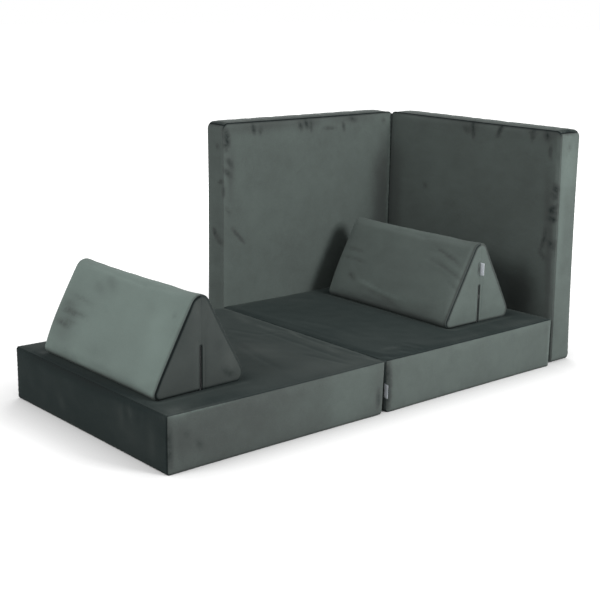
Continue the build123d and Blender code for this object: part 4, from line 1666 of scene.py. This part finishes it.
creases = on_panel(
    LEFT_END,
    (8, 1.2, (-630, 398), (-606, 345)),
    (8, 1.2, (-580, 362), (-590, 312)),
    (9, 0.9, (-535, 205), (-495, 165)),
    (14, 0.6, (-590, 150), (-585, 60)),
) + in_space(
    (6, 1.3, (-672, 236, 334), (-680, 150, 318), (-684, 60, 312)),
    (6, 1.5, (-684, 236, 312), (-692, 150, 298), (-688, 30, 306)),
    (6, 1.6, (-698, 236, 290), (-706, 140, 276), (-700, 50, 284)),
    (6, 1.3, (-708, 236, 270), (-716, 150, 258), (-714, 80, 260)),
    (6, 1.2, (-722, 236, 246), (-728, 140, 236)),
    (6, 0.9, (-738, 236, 216), (-738, 160, 216)),
    (7, 0.8, (-655, 150, 364), (-655, 60, 366)),
    (8, 0.8, (-640, 80, 390), (-650, 10, 366)),
)
marks = on_panel(
    LEFT_END,
    (7, -0.08, (-618, 396), (-608, 350)),
    (18, 0.08, (-600, 425), (-594, 385)),
    (16, 0.06, (-640, 340), (-680, 262)),
    (14, 0.07, (-555, 280), (-540, 252)),
    # painted shade in the crease
    (10, 0.16, (-535, 200), (-498, 170)),
    (28, -0.09, (-521, 247), (-501, 184)),
) + in_space(
    # painted shade in the creases, in the next three
    (7, 0.07, (-676, 225, 326), (-684, 60, 312)),
    (7, 0.09, (-698, 225, 290), (-704, 70, 280)),
    (7, 0.07, (-716, 225, 258), (-716, 110, 258)),
    (14, 0.1, (-700, 236, 286), (-730, 236, 232)),
    # painted shade in the creases, in the next two
    (16, 0.09, (-638, 70, 390), (-652, 5, 362)),
    (14, 0.08, (-655, 110, 366), (-662, 50, 350)),
    (14, 0.05, (-650, -140, 360), (-654, -192, 350)),
    (8, 0.1, (-651, -261, 356), (-656, -272, 344)),
    (22, 0.05, (-738, 60, 215), (-735, -80, 220)),
    (62, 0.13, (-671, 178, 335), (-727, 163, 233), (-754, 164, 185)),
    # painted shade at the foot, where it rests on the seat
    (26, 0.08, (-767, 16, 160), (-762, -135, 161), (-755, -254, 169)),
    # painted highlight along the ridge
    (26, -0.22, (-612, 240, 425), (-605, -100, 425), (-602, -295, 425)),
    (48, -0.08, (-648, -190, 364), (-694, -247, 279), (-727, -267, 219)),
    # painted shade in the creases, in the next three
    (7, 0.14, (-703, 215, 277), (-702, 128, 276)),
    (8, 0.16, (-720, 215, 247), (-719, 134, 246)),
    (7, 0.12, (-691, 222, 300), (-690, 158, 299)),
    (12, 0.1, (-754, 142, 185), (-758, 51, 174)),
)
# front end, rear end, right slope, base, left slope
lays = (0.39, 0.5, 0.42, 0.3, 0.86)
make_bolster("bolster_left", lays, creases, marks)

creases = on_panel(
    RIGHT_END,
    (10, 0.6, (520, 252), (530, 214)),
) + in_space(
    (5, 1.3, (427, -148, 372), (417, -213, 355), (408, -272, 339)),
    (6, 1.2, (411, -113, 342), (399, -211, 323), (387, -288, 302)),
    (6, 0.8, (380, -238, 289), (371, -290, 273)),
    (6, 1.2, (397, 236, 314), (395, 139, 310)),
    (6, 1.2, (382, 231, 286), (379, 121, 282)),
    (14, 1.2, (341, 97, 214), (328, -70, 193), (325, -270, 188)),
)
marks = on_panel(
    RIGHT_END,
    # painted shadow of the label
    (4, 0.35, (457, 345), (455, 312)),
) + in_space(
    # painted shade in the creases, in the next two
    (5, 0.13, (427, -148, 372), (417, -213, 355), (408, -272, 339)),
    (5, 0.12, (411, -113, 342), (399, -211, 323), (387, -288, 302)),
    # painted highlight on the fold between them
    (5, -0.08, (419, -135, 358), (410, -207, 343), (397, -283, 320)),
    # painted shade in the creases, in the next three
    (5, 0.08, (380, -238, 289), (371, -290, 273)),
    (6, 0.12, (397, 236, 314), (395, 139, 310)),
    (6, 0.12, (382, 231, 286), (379, 121, 282)),
    (8, 0.16, (355, 171, 239), (349, 135, 229)),
    # painted highlight on the fold above the low crease, and painted shade in that crease next
    (7, -0.1, (353, 158, 235), (340, 12, 214), (335, -111, 207)),
    (8, 0.07, (341, 97, 214), (328, -70, 193)),
    # painted shade at the foot, where it rests on the seat
    (26, 0.06, (323, 208, 181), (320, -56, 178), (319, -285, 180)),
    # painted highlight along the ridge
    (18, -0.14, (464, 240, 410), (464, 0, 410), (464, -280, 410)),
)
lays = (0.645, 0.5, 0.32, 0.3, 0.63)
make_bolster("bolster_right", lays, creases, marks)

# Zips of the seats and walls, where their tapes lie in the frame
for name in ("seat_left", "seat_right"):
    low, high = box_mm(f"{name}_cover")
    zip_low, zip_high = box_mm(f"{name}_zip_tape")
    start = (zip_low[0], high[1], SEAT_ZIP_HEIGHT)
    straight_zip(name, start, (1, 0, 0), (0, 1, 0), zip_high[0] - zip_low[0])
for name, outward in (("back_wall", (1, 0, 0)), ("side_wall", (0, 1, 0))):
    low, high = box_mm(f"{name}_cover")
    zip_low, zip_high = box_mm(f"{name}_zip_tape")
    start = np.where(outward, high, (zip_low + zip_high) / 2)
    start[2] = zip_low[2]
    straight_zip(name, start, (0, 0, 1), outward, zip_high[2] - zip_low[2])
bolster_zip("bolster_left", False)
bolster_zip("bolster_right", True)
seat_fold()
wall_fold()
low, high = box_mm("seat_tag")
root = (low[0] - 5, high[1] + 5, 0)
make_label_piece("seat_label", "seat_tag", "seat_right", root, -4.5, 0.9)
low, high = box_mm("bolster_tag")
root = (low[0] + 0.4, high[1] + 0.3, 0)
make_label_piece(
    "bolster_label", "bolster_tag", "bolster_right", root, -1.5, 0.7
)

# Stage: a white floor that keeps the shadow, and plain soft light
def seen_directly(add):
    """1 where the camera, a reflection or a clear material sees it, and 0 where it gives light."""
    ray = add("LightPath").outputs
    shows = add("Math", {0: ray["Is Camera Ray"], 1: ray["Is Glossy Ray"]}, operation="MAXIMUM")
    return add("Math", {0: shows, 1: ray["Is Transmission Ray"]}, operation="MAXIMUM")


floor_white, add = new_material("white_floor")
place = add("TexCoord").outputs["Object"]
away = add("VectorMath", {0: place}, operation="LENGTH").outputs["Value"]
# the floor glows a little less round the sofa, so that the lamps' shadows show there, and
# its glow is dimmed close beside it by ambient occlusion: a painted contact shadow
steps = {1: 0.9, 2: 2.2, 3: 0.54, 4: 1.0}
whiteness = add("MapRange", {"Value": away, **steps}, interpolation_type="SMOOTHSTEP")
nearness = add("AmbientOcclusion", {"Distance": 0.2}, samples=8).outputs["AO"]
openness = add("Math", {0: nearness, 1: 1.5}, operation="POWER")
glow_level = add("Math", {0: whiteness, 1: openness}, operation="MULTIPLY")
glow = add("Emission", {"Color": (1, 1, 1, 1), "Strength": glow_level})
lit = add("AddShader", {0: add("BsdfDiffuse", {"Color": (0.6, 0.6, 0.6, 1)}), 1: glow})
plain = add("BsdfDiffuse", {"Color": (0.5, 0.5, 0.5, 1)})
shown = add("MixShader", {0: seen_directly(add), 1: plain, 2: lit})
add("OutputMaterial", {"Surface": shown})
FLOOR_REACH = 30
floor_mesh = bpy.data.meshes.new("floor")
floor_corners = [(x * FLOOR_REACH, y * FLOOR_REACH, 0) for x, y in ((-1, -1), (1, -1), (1, 1), (-1, 1))]
floor_mesh.from_pydata(floor_corners, [], [(0, 1, 2, 3)])
floor_mesh.materials.append(floor_white)
floor = bpy.data.objects.new("floor", floor_mesh)
bpy.context.scene.collection.objects.link(floor)

AMBIENT = 0.42
world = bpy.data.worlds.new("studio")
bpy.context.scene.world = world
world.use_nodes = True
world.node_tree.nodes.clear()
add = functools.partial(add_node, world.node_tree)
ambient = add("Background", {"Color": (1, 1, 1, 1), "Strength": AMBIENT})
backdrop = add("Background", {"Color": (1, 1, 1, 1), "Strength": 1.0})
sky = add("MixShader", {0: seen_directly(add), 1: ambient, 2: backdrop})
add("OutputWorld", {"Surface": sky})

LIGHT_AIM = (0, 0, 0.3)
SOFTBOXES = (
    # name, place in metres, side in metres, watts
    ("softbox_front", (0.75, -3.0, 1.8), 1.1, 100),
    ("softbox_left", (-2.9, 0.05, 1.9), 1.1, 45),
    ("softbox_behind", (2.4, 3.0, 2.2), 1.8, 60),
)
for name, place, side, watts in SOFTBOXES:
    lamp = bpy.data.lights.new(name, "AREA")
    lamp.size = side
    lamp.energy = watts
    softbox = bpy.data.objects.new(name, lamp)
    softbox.location = place
    softbox.visible_camera = False
    softbox.rotation_mode = "QUATERNION"
    aim = Vector(LIGHT_AIM) - Vector(place)
    softbox.rotation_quaternion = aim.to_track_quat("-Z", "Y")
    bpy.context.scene.collection.objects.link(softbox)

bpy.context.scene.view_settings.view_transform = "Standard"
